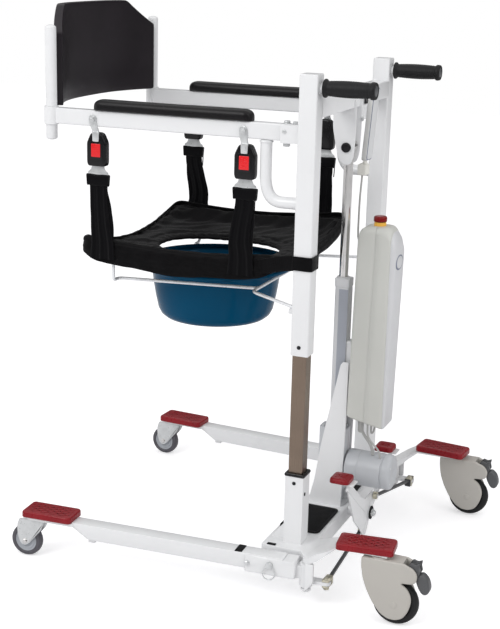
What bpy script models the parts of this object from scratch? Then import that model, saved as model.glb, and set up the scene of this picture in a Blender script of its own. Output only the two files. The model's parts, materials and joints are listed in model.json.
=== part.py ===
"""A mobile sit-on patient lift: two masts on a wheeled base, a hung sling seat, arm rails and a backrest.

Sizes are in millimetres and become metres in the helpers. +X points to the backrest, +Y to the left,
+Z up, with the floor at zero and the masts' centres at x = 0.
"""

import math

import bmesh
import bpy
from mathutils import Matrix, Vector

MM = 0.001
GAP = 0.3
RUNNING = 0.3
LEFT, RIGHT = 1, -1
SIDE_NAME = {LEFT: "left", RIGHT: "right"}

# Masts, columns and sleeves
TRACK = 249
MAST_SIDE, MAST_WALL, MAST_BOTTOM, MAST_TOP = 40, 2.5, 541, 1134
GLIDE_HEIGHT = 30
COLUMN_SIDE, COLUMN_WALL, COLUMN_TOP = 32, 2, 885
SLEEVE_SIDE, SLEEVE_TOP = 42, 266
COLLAR_SIDE, COLLAR_HEIGHT = 46, 6.5

# Base platform
PLATFORM_TOP, PLATFORM_HEIGHT = 109, 40
PLATFORM_FRONT, PLATFORM_REAR, PLATFORM_HALF = 62, -45, 299
SLEEVE_GUSSET, GUSSET_PLATE = 38, 6
CHEEK_Y, CHEEK_PLATE, CHEEK_TOP = 25.5, 5, 466
MAT_INNER, MAT_OUTER, MAT_THICK = 50, 202, 4

# Leg hinge, leg and lock pin
HINGE_X, HINGE_Y, SPLAY = -57, 330, 3.4
POST_R, BARREL_R, BARREL_LOW, BARREL_TOP = 8, 14, 46, 99.5
POST_END, POST_HEAD_R = 33, 12
BRACKET_REAR, BRACKET_FRONT, BRACKET_LOW, BRACKET_WALL, BRACKET_TOP = 20, 135, 64, 2.4, 104
LEG_WIDTH, LEG_HEIGHT, LEG_WALL, LEG_REAR, LEG_FRONT = 38, 36, 2.5, 48, 552
PIN_ALONG, PIN_Z, PIN_R, PIN_KNOB_R, RING_R, RING_WIRE = 77, 90, 4, 7.5, 14, 1.6
TAIL_LENGTH, TAIL_Z, TAIL_THICK, TAIL_EYE_R = 46, 60, 8, 10
CLEVIS_PIN_R, TAIL_BORE_R = 3.6, 4.6

# Pedal rocker and its tie rods
ROCKER_Z, ROCKER_X, ROCKER_PLATE, ROCKER_HUB_R = 96, -94, 6, 18
SHAFT_R, BEARING_R, SHAFT_HEAD_R = 7, 17, 15
LOW_BALL = (24, -39)
HIGH_BALL = (-28, 32.8)
STUD_R, BALL_R, BALL_WIDTH, BALL_GAP, TIE_R = 4, 9, 9, 0.9, 4.5
PEDAL_LEFT, PEDAL_RIGHT = (167, 137), (-174, 97)
PEDAL_ARM, PEDAL_LENGTH, PEDAL_WIDTH, PEDAL_THICK = 20, 46, 50, 12
TAB_THICK = 4

# Rear casters
REAR_AXIS_X, REAR_Y = -220, 324
REAR_WHEEL_X, REAR_WHEEL_R, REAR_WHEEL_WIDTH = -258.5, 50, 24
REAR_HOUSING_LOW, REAR_HOUSING_TOP, REAR_STEM_R, REAR_STEM_TOP = 141, 151.5, 5.5, 149
REAR_CHEEK_OUT, REAR_CHEEK_IN, AXLE_R = 22, 13.5, 5
BRAKE_PIN_X, BRAKE_PIN_Z, BRAKE_PIN_R, BRAKE_HALF = -287, 112, 3, 12.8

# Front casters, in the leg's own direction from its hinge
FRONT_AXIS, FRONT_TRAIL, FRONT_WHEEL_R, FRONT_WHEEL_WIDTH = 655, 23, 38, 20
FRONT_HOUSING_LOW, FRONT_HOUSING_TOP, FRONT_STEM_R = 86, 99, 5
FRONT_CHEEK_OUT, FRONT_CHEEK_IN, FRONT_AXLE_R = 14, 11, 4

# Red caster covers
COVER_LENGTH, COVER_WIDTH, COVER_THICK, COVER_CORNER = 121, 84, 14.2, 15
REAR_COVER_FRONT, FRONT_COVER_REAR = -125, 556

# Lift frame
BEAM_LOW, BEAM_TOP = 1045, 1085
ACTUATOR_X = -5
LUG_Y, LUG_PLATE, LUG_PIN_Z, LUG_PIN_R, LUG_HEAD_R = 18, 4, 958, 6, 11
RAIL_Y, RAIL_WIDTH, RAIL_LOW, RAIL_TOP = 247, 25, 996, 1031
RAIL_BRACKET_FRONT, RAIL_BRACKET_WALL = 60, 3.5
BRACE_X, BRACE_R, BRACE_END_Z, BRACE_BEND = 95, 12.5, 866, 48
GRIP_Z, GRIP_BAR_R, GRIP_R, GRIP_REAR, GRIP_FRONT = 1108, 11, 17, -138, -22
PAD_REAR, PAD_FRONT, PAD_WIDTH, PAD_HEIGHT = 126, 500, 40, 21

# Backrest
BACK_X, BACK_Y, BACK_POST_R, BACK_LOW, BACK_TOP = 608, 252, 12.5, 959, 1210
SOCKET_R = 16.5
PANEL_HALF, PANEL_LOW, PANEL_TOP, PANEL_TIP = 232, 1038, 1252, 1190
PANEL_MID_X, PANEL_RADIUS, PANEL_THICK, CORNER_START = 640, 574, 10, 145
BACK_BAR_R, BACK_BAR_ZS = 8, (1080, 1170)

# Actuator and control box
TUBE_HALF_X, TUBE_HALF_Y, TUBE_TOP = 20, 18, 667
ROD_R, ROD_LOW, ROD_BORE_R, ROD_BORE_LOW = 10.5, 560, 11, 320
GEAR_REAR, GEAR_FRONT, GEAR_LOW, GEAR_TOP = -34, 33, 150, 300
MOTOR_R, MOTOR_Z, MOTOR_FRONT, MOTOR_REAR = 42, 205, -38, -148
CONTROL_HALF, CONTROL_BOTTOM = 37, 333
STOP_X, STOP_COLLAR_R, STOP_CAP_R, STOP_STEM_R, STOP_COLLAR_TOP = -88, 16, 15, 6, 788
STOP_TRAVEL = 5

# Handset, hung on a hook, with its cord's block below and the cord behind the control box
HANDSET_Y, HANDSET_WIDTH, HANDSET_THICK, HANDSET_FRONT = -61, 44, 11, -18.5
HANDSET_LOW, HANDSET_TOP, HANDSET_LEAN = 920, 1084, 0.05
HOOK_LOW, HOOK_LIP, HOOK_REAR = 1058, 1066, -30.4
BLOCK_X, BLOCK_LOW, BLOCK_TOP, CORD_R = -19, 886, 911, 2.2

# Buckles and sling
BUCKLE_FRONT_X, BUCKLE_REAR_X, BUCKLE_Y = 491.5, 139, 253
BUCKLE_WIDTH, BUCKLE_THICK, BUCKLE_LOW, BUCKLE_TOP = 45, 22, 909, 983
BOLT_FRONT_X, BOLT_REAR_X, BOLT_Z, BOLT_R, BOLT_HEAD_R = 500, 143, 1011, 4, 8
BUTTON_WIDTH, BUTTON_LOW, BUTTON_TOP, BUTTON_DEEP = 20, 929, 960, 8
TONGUE_WIDTH, TONGUE_THICK, TONGUE_TOP = 30, 2.5, 926
WEB_WIDTH, WEB_THICK = 48, 3
WEB_FRONT_LOW_X, WEB_REAR_LOW_X, WEB_LOW = 478.5, 144, 695
SEAT_X, SEAT_HALF_LENGTH, SEAT_HALF_WIDTH, SEAT_POWER = 305, 235, 255, 24
HOLE_X, HOLE_HALF_LENGTH, HOLE_HALF_WIDTH = 312, 157, 110
SEAT_RIM_Z, SEAT_SAG, HOLE_Z, SEAT_THICK, SEAT_EDGE, SEAT_SKIRT, SKIRT_THICK = 743, 35, 704, 11, 15, 56, 5
BAND_LOW, BAND_TOP, BAND_THICK = 728, 759, 3

# Pan and its wire carrier
PAN_X, PAN_WALL, PAN_RIM_R, PAN_BODY_R, PAN_BOTTOM_R, PAN_DEPTH, PAN_LIP = 312, 3, 184, 153, 82, 125, 10.5
WIRE_R, WIRE_Z, HOOK_Y, HOOK_Z, HOOK_TIP = 3, 648, 243, 641, 25
WIRE_REAR_X, WIRE_REAR_HALF, WIRE_JOIN_HALF = 145, 183, 149
WIRE_FRONT_X, WIRE_FRONT_HALF, WIRE_DROP_X, WIRE_DROP_Y, WIRE_TOP = 466, 207, 463, 236, 711

LEG_BOTTOM = BRACKET_LOW + 6
LEG_TOP = LEG_BOTTOM + GAP + LEG_HEIGHT
WHITE_SIDES = (LEFT, RIGHT)

FRAMES = [Matrix.Identity(4)]
COLLECTIONS = {}
MATERIALS = {}


def clear_scene():
    for thing in list(bpy.data.objects):
        bpy.data.objects.remove(thing)
    for name, hidden in (("patient_lift", False), ("cutters", True)):
        group = bpy.data.collections.new(name)
        group.hide_render = hidden
        bpy.context.scene.collection.children.link(group)
        COLLECTIONS[name] = group


def make_materials():
    table = {
        "white_paint": ((0.84, 0.85, 0.85), 0.32, 0.0),
        "stainless": ((0.62, 0.60, 0.58), 0.22, 1.0),
        "black_rubber": ((0.012, 0.012, 0.013), 0.75, 0.0),
        "black_plastic": ((0.014, 0.014, 0.016), 0.3, 0.0),
        "red_plastic": ((0.24, 0.008, 0.014), 0.38, 0.0),
        "red_button": ((0.55, 0.015, 0.015), 0.35, 0.0),
        "blue_plastic": ((0.008, 0.10, 0.24), 0.25, 0.0),
        "warm_grey": ((0.50, 0.48, 0.44), 0.5, 0.0),
        "grey_rubber": ((0.20, 0.20, 0.19), 0.7, 0.0),
        "zinc": ((0.66, 0.66, 0.64), 0.32, 1.0),
        "grey_housing": ((0.60, 0.60, 0.57), 0.5, 0.0),
        "black_fabric": ((0.016, 0.016, 0.018), 0.9, 0.0),
    }
    for name, (colour, roughness, metallic) in table.items():
        made = bpy.data.materials.new(name)
        made.use_nodes = True
        shader = made.node_tree.nodes["Principled BSDF"]
        shader.inputs["Base Color"].default_value = (*colour, 1.0)
        shader.inputs["Roughness"].default_value = roughness
        shader.inputs["Metallic"].default_value = metallic
        MATERIALS[name] = made


class Within:
    """A frame that the shapes made inside the with block are placed in."""

    def __init__(self, frame):
        self.frame = frame

    def __enter__(self):
        FRAMES.append(FRAMES[-1] @ self.frame)

    def __exit__(self, *_):
        FRAMES.pop()


def leg_frame(side):
    turn = Matrix.Rotation(math.radians(side * SPLAY), 4, "Z")
    return Matrix.Translation(Vector((HINGE_X, side * HINGE_Y, 0)) * MM) @ turn


def spread(side, near, far):
    """The two lateral limits on one side, in rising order."""
    return tuple(sorted((side * near, side * far)))


def add_object(name, data, matrix):
    made = bpy.data.objects.new(name, data)
    COLLECTIONS["cutters"].objects.link(made)
    made.display_type = "WIRE"
    made.hide_render = True
    made.matrix_world = FRAMES[-1] @ matrix
    return made


def from_bmesh(name, work, matrix=None):
    bmesh.ops.recalc_face_normals(work, faces=work.faces)
    data = bpy.data.meshes.new(name)
    work.to_mesh(data)
    work.free()
    return add_object(name, data, matrix or Matrix.Identity(4))


def box(name, x, y, z):
    work = bmesh.new()
    bmesh.ops.create_cube(work, size=1)
    size = Vector((x[1] - x[0], y[1] - y[0], z[1] - z[0])) * MM
    bmesh.ops.scale(work, vec=size, verts=work.verts)
    middle = Vector((x[0] + x[1], y[0] + y[1], z[0] + z[1])) * MM / 2
    return from_bmesh(name, work, Matrix.Translation(middle))


def axis_matrix(start, direction):
    turn = Vector((0, 0, 1)).rotation_difference(Vector(direction).normalized())
    return Matrix.Translation(Vector(start) * MM) @ turn.to_matrix().to_4x4()


def sides_for(radius):
    """Enough flats for a round of this radius to look round."""
    return 10 if radius < 7 else 14 if radius < 14 else 20 if radius < 30 else 28


def rod(name, start, end, radius, sides=None):
    along = Vector(end) - Vector(start)
    work = bmesh.new()
    bmesh.ops.create_cone(
        work, cap_ends=True, segments=sides or sides_for(radius), radius1=radius * MM,
        radius2=radius * MM, depth=along.length * MM,
    )
    middle = (Vector(start) + Vector(end)) / 2
    return from_bmesh(name, work, axis_matrix(middle, along))


def hole(name, start, end, radius):
    """A cutter whose flats, not its corners, stand at the radius, so that what runs in it stays clear."""
    sides = sides_for(radius)
    return rod(name, start, end, radius / math.cos(math.pi / sides), sides)


def turned(name, profile, start, direction=(0, 0, 1), steps=32):
    """A profile of (radius, height) pairs turned about the line through start."""
    points = list(profile)
    area = sum(
        a[0] * b[1] - b[0] * a[1] for a, b in zip(points, points[1:] + points[:1])
    )
    if area > 0:
        points.reverse()
    on_axis = [p for p in points if p[0] == 0]
    if on_axis:
        while points[0][0] != 0 or points[-1][0] != 0:
            points = points[1:] + points[:1]
    edges = [(i, i + 1) for i in range(len(points) - 1)]
    if not on_axis:
        edges.append((len(points) - 1, 0))
    data = bpy.data.meshes.new(name)
    data.from_pydata([(r * MM, 0, h * MM) for r, h in points], edges, [])
    made = add_object(name, data, axis_matrix(start, direction))
    screw = made.modifiers.new("turn", "SCREW")
    screw.axis = "Z"
    screw.steps = screw.render_steps = steps
    screw.use_merge_vertices = True
    screw.merge_threshold = 0.00001
    screw.use_normal_calculate = False
    screw.use_smooth_shade = False
    return made


def plate(name, outline, low, high, plane):
    """An outline extruded across its plane: "xz" between two y values, "yz" between two x values, "xy" in z."""
    place = {
        "xz": lambda a, b, c: (a, c, b),
        "yz": lambda a, b, c: (c, a, b),
        "xy": lambda a, b, c: (a, b, c),
    }[plane]
    work = bmesh.new()
    lower = [work.verts.new(Vector(place(a, b, low)) * MM) for a, b in outline]
    upper = [work.verts.new(Vector(place(a, b, high)) * MM) for a, b in outline]
    work.faces.new(lower)
    work.faces.new(upper)
    for i in range(len(outline)):
        j = (i + 1) % len(outline)
        work.faces.new((lower[i], lower[j], upper[j], upper[i]))
    return from_bmesh(name, work)


def loft(name, sections, closed=False):
    """Rings of equally many points joined in order; the ends are capped, or the last ring meets the first."""
    work = bmesh.new()
    rings = [[work.verts.new(Vector(p) * MM) for p in ring] for ring in sections]
    count = len(rings[0])
    pairs = list(zip(rings, rings[1:]))
    if closed:
        pairs.append((rings[-1], rings[0]))
    for near, far in pairs:
        for i in range(count):
            j = (i + 1) % count
            work.faces.new((near[i], near[j], far[j], far[i]))
    if not closed:
        work.faces.new(rings[0])
        work.faces.new(rings[-1])
    return from_bmesh(name, work)


def bent(points, radius, steps=5):
    """The points with each inner corner rounded to the radius."""
    path = [Vector(points[0])]
    for before, corner, after in zip(points, points[1:], points[2:]):
        corner = Vector(corner)
        back = (Vector(before) - corner).normalized()
        ahead = (Vector(after) - corner).normalized()
        half = back.angle(ahead) / 2
        reach = radius / math.tan(half)
        centre = corner + (back + ahead).normalized() * (radius / math.sin(half))
        first = (corner + back * reach - centre).normalized()
        last = (corner + ahead * reach - centre).normalized()
        for step in range(steps + 1):
            path.append(centre + first.slerp(last, step / steps) * radius)
    path.append(Vector(points[-1]))
    return path


def tube(name, points, radius, resolution=2):
    """A round bar along the points, as a mesh."""
    curve = bpy.data.curves.new(name + "_route", "CURVE")
    curve.dimensions = "3D"
    curve.bevel_depth = radius * MM
    curve.bevel_resolution = resolution
    curve.use_fill_caps = True
    line = curve.splines.new("POLY")
    line.points.add(len(points) - 1)
    for knot, point in zip(line.points, points):
        knot.co = (*(Vector(point) * MM), 1)
    route = add_object(name + "_route", curve, Matrix.Identity(4))
    bpy.context.view_layer.update()
    graph = bpy.context.evaluated_depsgraph_get()
    data = bpy.data.meshes.new_from_object(route.evaluated_get(graph))
    bpy.data.objects.remove(route)
    work = bmesh.new()
    work.from_mesh(data)
    bmesh.ops.remove_doubles(work, verts=work.verts, dist=0.000001)
    return from_bmesh(name, work)


def combine(target, operation, tools):
    for tool in tools:
        step = target.modifiers.new(operation.lower(), "BOOLEAN")
        step.operation = operation
        step.solver = "EXACT"
        step.object = tool
    return target


def fuse(target, *tools):
    return combine(target, "UNION", tools)


def cut(target, *tools):
    return combine(target, "DIFFERENCE", tools)


def soften(target, width, segments=2, angle=35):
    step = target.modifiers.new("round", "BEVEL")
    step.width = width * MM
    step.segments = segments
    step.limit_method = "ANGLE"
    step.angle_limit = math.radians(angle)
    return target


def round_upright(target, width, segments=4):
    """Rounds only the edges along the shape's own Z."""
    data = target.data
    for name in ("bevel_weight_edge",):
        weights = data.attributes.new(name, "FLOAT", "EDGE")
    for edge in data.edges:
        a, b = (data.vertices[i].co for i in edge.vertices)
        flat = math.hypot(a.x - b.x, a.y - b.y) < 1e-7
        weights.data[edge.index].value = 1.0 if flat else 0.0
    step = target.modifiers.new("corners", "BEVEL")
    step.width = width * MM
    step.segments = segments
    step.limit_method = "WEIGHT"
    return target


def finish(thing, name, material, pivot=None):
    """Makes the shape a named piece of the lift."""
    thing.name = name
    thing.data.name = name
    COLLECTIONS["cutters"].objects.unlink(thing)
    COLLECTIONS["patient_lift"].objects.link(thing)
    thing.display_type = "TEXTURED"
    thing.hide_render = False
    thing.data.materials.append(MATERIALS[material])
    if pivot is not None:
        holder = bpy.data.objects.new(name + "_axis", None)
        COLLECTIONS["patient_lift"].objects.link(holder)
        holder.matrix_world = FRAMES[-1] @ Matrix.Translation(Vector(pivot) * MM)
        holder.empty_display_size = 0.02
        bpy.context.view_layer.update()
        thing.parent = holder
        thing.matrix_parent_inverse = holder.matrix_world.inverted()
    return thing


def rear_arm(side):
    """The arm from the platform's end up to the rear caster's housing."""
    table = (
        (-30, 215, 298, 100.5, 108.5),
        (-60, 232, 346, 100.5, 115),
        (-86, 256, 352, 116, 134),
        (-110, 272, 358, 138, 147),
        (-128, 284, 361, REAR_HOUSING_LOW, REAR_HOUSING_TOP),
        (-238, 287, 361, REAR_HOUSING_LOW, REAR_HOUSING_TOP),
    )
    rings = []
    for x, inner, outer, low, high in table:
        y0, y1 = side * inner, side * outer
        rings.append([(x, y0, low), (x, y1, low), (x, y1, high), (x, y0, high)])
    return loft("rear_arm", rings)


def make_base():
    base = box("platform", (PLATFORM_REAR, PLATFORM_FRONT), (-PLATFORM_HALF, PLATFORM_HALF),
               (PLATFORM_TOP - PLATFORM_HEIGHT, PLATFORM_TOP))
    soften(base, 3, 2)
    parts, cuts = [], []
    half = SLEEVE_SIDE / 2
    bore = COLUMN_SIDE / 2 + GAP
    for side in WHITE_SIDES:
        y = side * TRACK
        parts.append(box("sleeve", (-half, half), (y - half, y + half), (PLATFORM_TOP - 8, SLEEVE_TOP)))
        cuts.append(box("sleeve_bore", (-bore, bore), (y - bore, y + bore), (PLATFORM_TOP + 5, SLEEVE_TOP + 9)))
        foot = PLATFORM_TOP - 2
        gusset = [(half - 3, foot), (PLATFORM_FRONT - 3, foot), (half + 6, foot + SLEEVE_GUSSET),
                  (half - 3, foot + SLEEVE_GUSSET)]
        parts.append(plate("sleeve_gusset", gusset, y - GUSSET_PLATE / 2, y + GUSSET_PLATE / 2, "xz"))
        cheek = [(-31, foot), (50, foot), (36, 168), (22, 262), (11, 318), (3, 358), (-8, 412), (-17, 458),
                 (-22, CHEEK_TOP), (-36, CHEEK_TOP), (-35.5, 330)]
        parts.append(plate("cheek", cheek, *spread(side, CHEEK_Y, CHEEK_Y + CHEEK_PLATE), "xz"))
        parts.append(rear_arm(side))
        web = [(PLATFORM_REAR + 4, 76), (PLATFORM_REAR + 4, 104), (-88, 124), (-84, 113), (-70, 98), (-58, 84)]
        parts.append(plate("arm_web", web, *spread(side, 262, 268), "xz"))
        hinge = (HINGE_X, side * HINGE_Y)
        parts.append(rod("hinge_post", (*hinge, 110), (*hinge, POST_END), POST_R))
        parts.append(rod("post_head", (*hinge, BARREL_LOW - GAP - 5), (*hinge, POST_END + 3), POST_HEAD_R, 6))
        stem = (REAR_AXIS_X, side * REAR_Y)
        cuts.append(hole("stem_bore", (*stem, REAR_HOUSING_LOW - 5), (*stem, REAR_STEM_TOP + 1), REAR_STEM_R + RUNNING))
    shaft = (PLATFORM_REAR + 5, 0, ROCKER_Z)
    parts.append(rod("bearing", shaft, (ROCKER_X + ROCKER_PLATE + GAP, 0, ROCKER_Z), BEARING_R))
    parts.append(rod("shaft", shaft, (ROCKER_X - 8, 0, ROCKER_Z), SHAFT_R))
    parts.append(rod("washer", (ROCKER_X - GAP, 0, ROCKER_Z), (ROCKER_X - 3.5, 0, ROCKER_Z), SHAFT_HEAD_R, 20))
    parts.append(rod("nut", (ROCKER_X - 3, 0, ROCKER_Z), (ROCKER_X - 10, 0, ROCKER_Z), 9, 6))
    finish(cut(fuse(base, *parts), *cuts), "base_frame", "white_paint")


def make_columns():
    for side in WHITE_SIDES:
        y = side * TRACK
        half = COLUMN_SIDE / 2
        inner = half - COLUMN_WALL
        column = box("column", (-half, half), (y - half, y + half), (PLATFORM_TOP + 5 + GAP, COLUMN_TOP))
        bore = box("column_bore", (-inner, inner), (y - inner, y + inner), (PLATFORM_TOP, COLUMN_TOP + 5))
        finish(cut(column, bore), f"inner_column_{SIDE_NAME[side]}", "stainless")
        rim = COLLAR_SIDE / 2
        fit = half + RUNNING
        collar = box("collar", (-rim, rim), (y - rim, y + rim),
                     (SLEEVE_TOP + GAP, SLEEVE_TOP + GAP + COLLAR_HEIGHT))
        soften(collar, 2, 2)
        opening = box("collar_hole", (-fit, fit), (y - fit, y + fit), (SLEEVE_TOP - 5, SLEEVE_TOP + 20))
        finish(cut(collar, opening), f"column_collar_{SIDE_NAME[side]}", "black_plastic")
        low = PLATFORM_TOP + GAP
        mat = box("mat", (-37, PLATFORM_FRONT - 3), spread(side, MAT_INNER, MAT_OUTER), (low, low + MAT_THICK))
        round_upright(mat, 14)
        finish(mat, f"foot_mat_{SIDE_NAME[side]}", "black_rubber")


def make_leg(side):
    name = SIDE_NAME[side]
    half = LEG_WIDTH / 2
    with Within(leg_frame(side)):
        low = LEG_BOTTOM + GAP
        outline = [(LEG_REAR, low), (LEG_REAR, LEG_TOP), (LEG_FRONT - 22, LEG_TOP), (LEG_FRONT, LEG_TOP - 16),
                   (LEG_FRONT, FRONT_HOUSING_LOW), (LEG_FRONT - 12, low)]
        leg = plate("leg", outline, -half, half, "xz")
        soften(leg, 3, 1)
        inner = half - LEG_WALL
        bore = box("leg_bore", (LEG_REAR - 5, LEG_FRONT - 30), (-inner, inner), (low + LEG_WALL, LEG_TOP - LEG_WALL))
        end = FRONT_COVER_REAR + COVER_LENGTH - 8
        housing = box("front_housing", (LEG_FRONT - 6, end), (-32, 32), (FRONT_HOUSING_LOW, FRONT_HOUSING_TOP))
        round_upright(housing, 10)
        stem = hole("stem_bore", (FRONT_AXIS, 0, FRONT_HOUSING_LOW - 5), (FRONT_AXIS, 0, FRONT_HOUSING_TOP - 2),
                   FRONT_STEM_R + RUNNING)
        catch = hole("catch_hole", (PIN_ALONG, 0, PIN_Z), (PIN_ALONG, side * (half + 5), PIN_Z), PIN_R + GAP)
        pivot = (0, 0, LEG_BOTTOM)
        finish(cut(fuse(leg, housing), bore, stem, catch), f"leg_{name}", "white_paint", pivot)

        outer = half + GAP + BRACKET_WALL
        bracket = box("bracket", (BRACKET_REAR, BRACKET_FRONT), (-outer, outer), (BRACKET_LOW, BRACKET_TOP))
        soften(bracket, 2, 1)
        channel = box("channel", (LEG_REAR - 4, BRACKET_FRONT + 5), (-half - GAP, half + GAP),
                      (LEG_BOTTOM, BRACKET_TOP + 5))
        well = box("well", (BRACKET_REAR + 3, LEG_REAR - 1), (-half - GAP, half + GAP), (LEG_BOTTOM, BRACKET_TOP + 5))
        neck = box("neck", (-2, BRACKET_REAR + 4), (-BARREL_R + 3, BARREL_R - 3), (BRACKET_LOW, BARREL_TOP - 6))
        barrel = rod("barrel", (0, 0, BARREL_LOW), (0, 0, BARREL_TOP), BARREL_R)
        post = hole("post_bore", (0, 0, BARREL_LOW - 5), (0, 0, BARREL_TOP + 5), POST_R + RUNNING)
        z0, z1 = TAIL_Z - TAIL_THICK / 2, TAIL_Z + TAIL_THICK / 2
        tail = box("tail", (-TAIL_LENGTH, -BARREL_R + 4), (-TAIL_EYE_R, TAIL_EYE_R), (z0, z1))
        eye = rod("tail_eye", (-TAIL_LENGTH, 0, z0), (-TAIL_LENGTH, 0, z1), TAIL_EYE_R)
        eye_bore = hole("tail_bore", (-TAIL_LENGTH, 0, z0 - 5), (-TAIL_LENGTH, 0, z1 + 5), TAIL_BORE_R)
        pin_hole = hole("pin_hole", (PIN_ALONG, side * (half - 3), PIN_Z), (PIN_ALONG, side * (outer + 5), PIN_Z),
                       PIN_R + GAP)
        bolt = rod("side_bolt", (BRACKET_FRONT - 6, side * (outer - 1), 84),
                   (BRACKET_FRONT - 6, side * (outer + 4), 84), 5, 6)
        cut(bracket, channel, well)
        fuse(bracket, neck, barrel, tail, eye, bolt)
        finish(cut(bracket, post, eye_bore, pin_hole), f"leg_hinge_{name}", "white_paint", pivot)

        knob = outer + GAP
        pin = rod("lock_pin", (PIN_ALONG, side * (half - 6), PIN_Z), (PIN_ALONG, side * (knob + 1), PIN_Z), PIN_R)
        head = rod("pin_head", (PIN_ALONG, side * knob, PIN_Z), (PIN_ALONG, side * (knob + 9), PIN_Z), PIN_KNOB_R)
        middle = Vector((PIN_ALONG, side * (knob + 6), PIN_Z - PIN_KNOB_R - RING_R + 3))
        turns = 14
        ring_rows = []
        for i in range(turns):
            a = math.tau * i / turns
            out = Vector((math.sin(a), 0, math.cos(a)))
            row = []
            for j in range(5):
                b = math.tau * j / 5
                row.append(middle + out * (RING_R + RING_WIRE * math.cos(b))
                           + Vector((0, 1, 0)) * RING_WIRE * math.sin(b))
            ring_rows.append(row)
        ring = loft("pull_ring", ring_rows, closed=True)
        finish(fuse(pin, head, ring), f"lock_pin_{name}", "zinc", (PIN_ALONG, side * knob, PIN_Z))

        rear, front = FRONT_COVER_REAR, FRONT_COVER_REAR + COVER_LENGTH
        cover = box("cover", (rear, front), (-COVER_WIDTH / 2, COVER_WIDTH / 2),
                    (FRONT_HOUSING_TOP + GAP, FRONT_HOUSING_TOP + GAP + COVER_THICK))
        round_upright(cover, COVER_CORNER)
        soften(cover, 3, 1, 60)
        finish(cover, f"caster_cover_front_{name}", "red_plastic", pivot)
        make_front_caster(name)


def make_front_caster(name):
    axle = (FRONT_AXIS + FRONT_TRAIL, FRONT_WHEEL_R)
    top = FRONT_HOUSING_LOW - 1
    outline = [(FRONT_AXIS - 15, top), (FRONT_AXIS + 15, top), (FRONT_AXIS + 21, top - 12)]
    for i in range(7):
        a = math.radians(20 - i * 35)
        outline.append((axle[0] + 10 * math.cos(a), axle[1] + 10 * math.sin(a)))
    outline.append((FRONT_AXIS - 11, top - 22))
    fork = plate("front_fork", outline, -FRONT_CHEEK_OUT, FRONT_CHEEK_OUT, "xz")
    room = FRONT_CHEEK_IN
    slot = hole("wheel_room", (axle[0], -room, axle[1]), (axle[0], room, axle[1]), FRONT_WHEEL_R + 3)
    stem = rod("front_stem", (FRONT_AXIS, 0, top - 2), (FRONT_AXIS, 0, FRONT_HOUSING_TOP - 4), FRONT_STEM_R)
    pin = rod("front_axle", (axle[0], -FRONT_CHEEK_OUT - 2, axle[1]), (axle[0], FRONT_CHEEK_OUT + 2, axle[1]),
              FRONT_AXLE_R, 16)
    pivot = (FRONT_AXIS, 0, top)
    finish(fuse(cut(fork, slot), stem, pin), f"front_caster_fork_{name}", "zinc", pivot)
    half = FRONT_WHEEL_WIDTH / 2
    r = FRONT_WHEEL_R
    bore = FRONT_AXLE_R + RUNNING
    profile = [(bore, half), (25, half - 2), (r - 4, half - 1), (r, half - 5), (r, 5 - half), (r - 4, 1 - half),
               (25, 2 - half), (bore, -half)]
    wheel = turned("front_wheel", profile, (axle[0], 0, axle[1]), (0, 1, 0), 18)
    finish(wheel, f"front_caster_wheel_{name}", "grey_rubber", (axle[0], 0, axle[1]))


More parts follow.
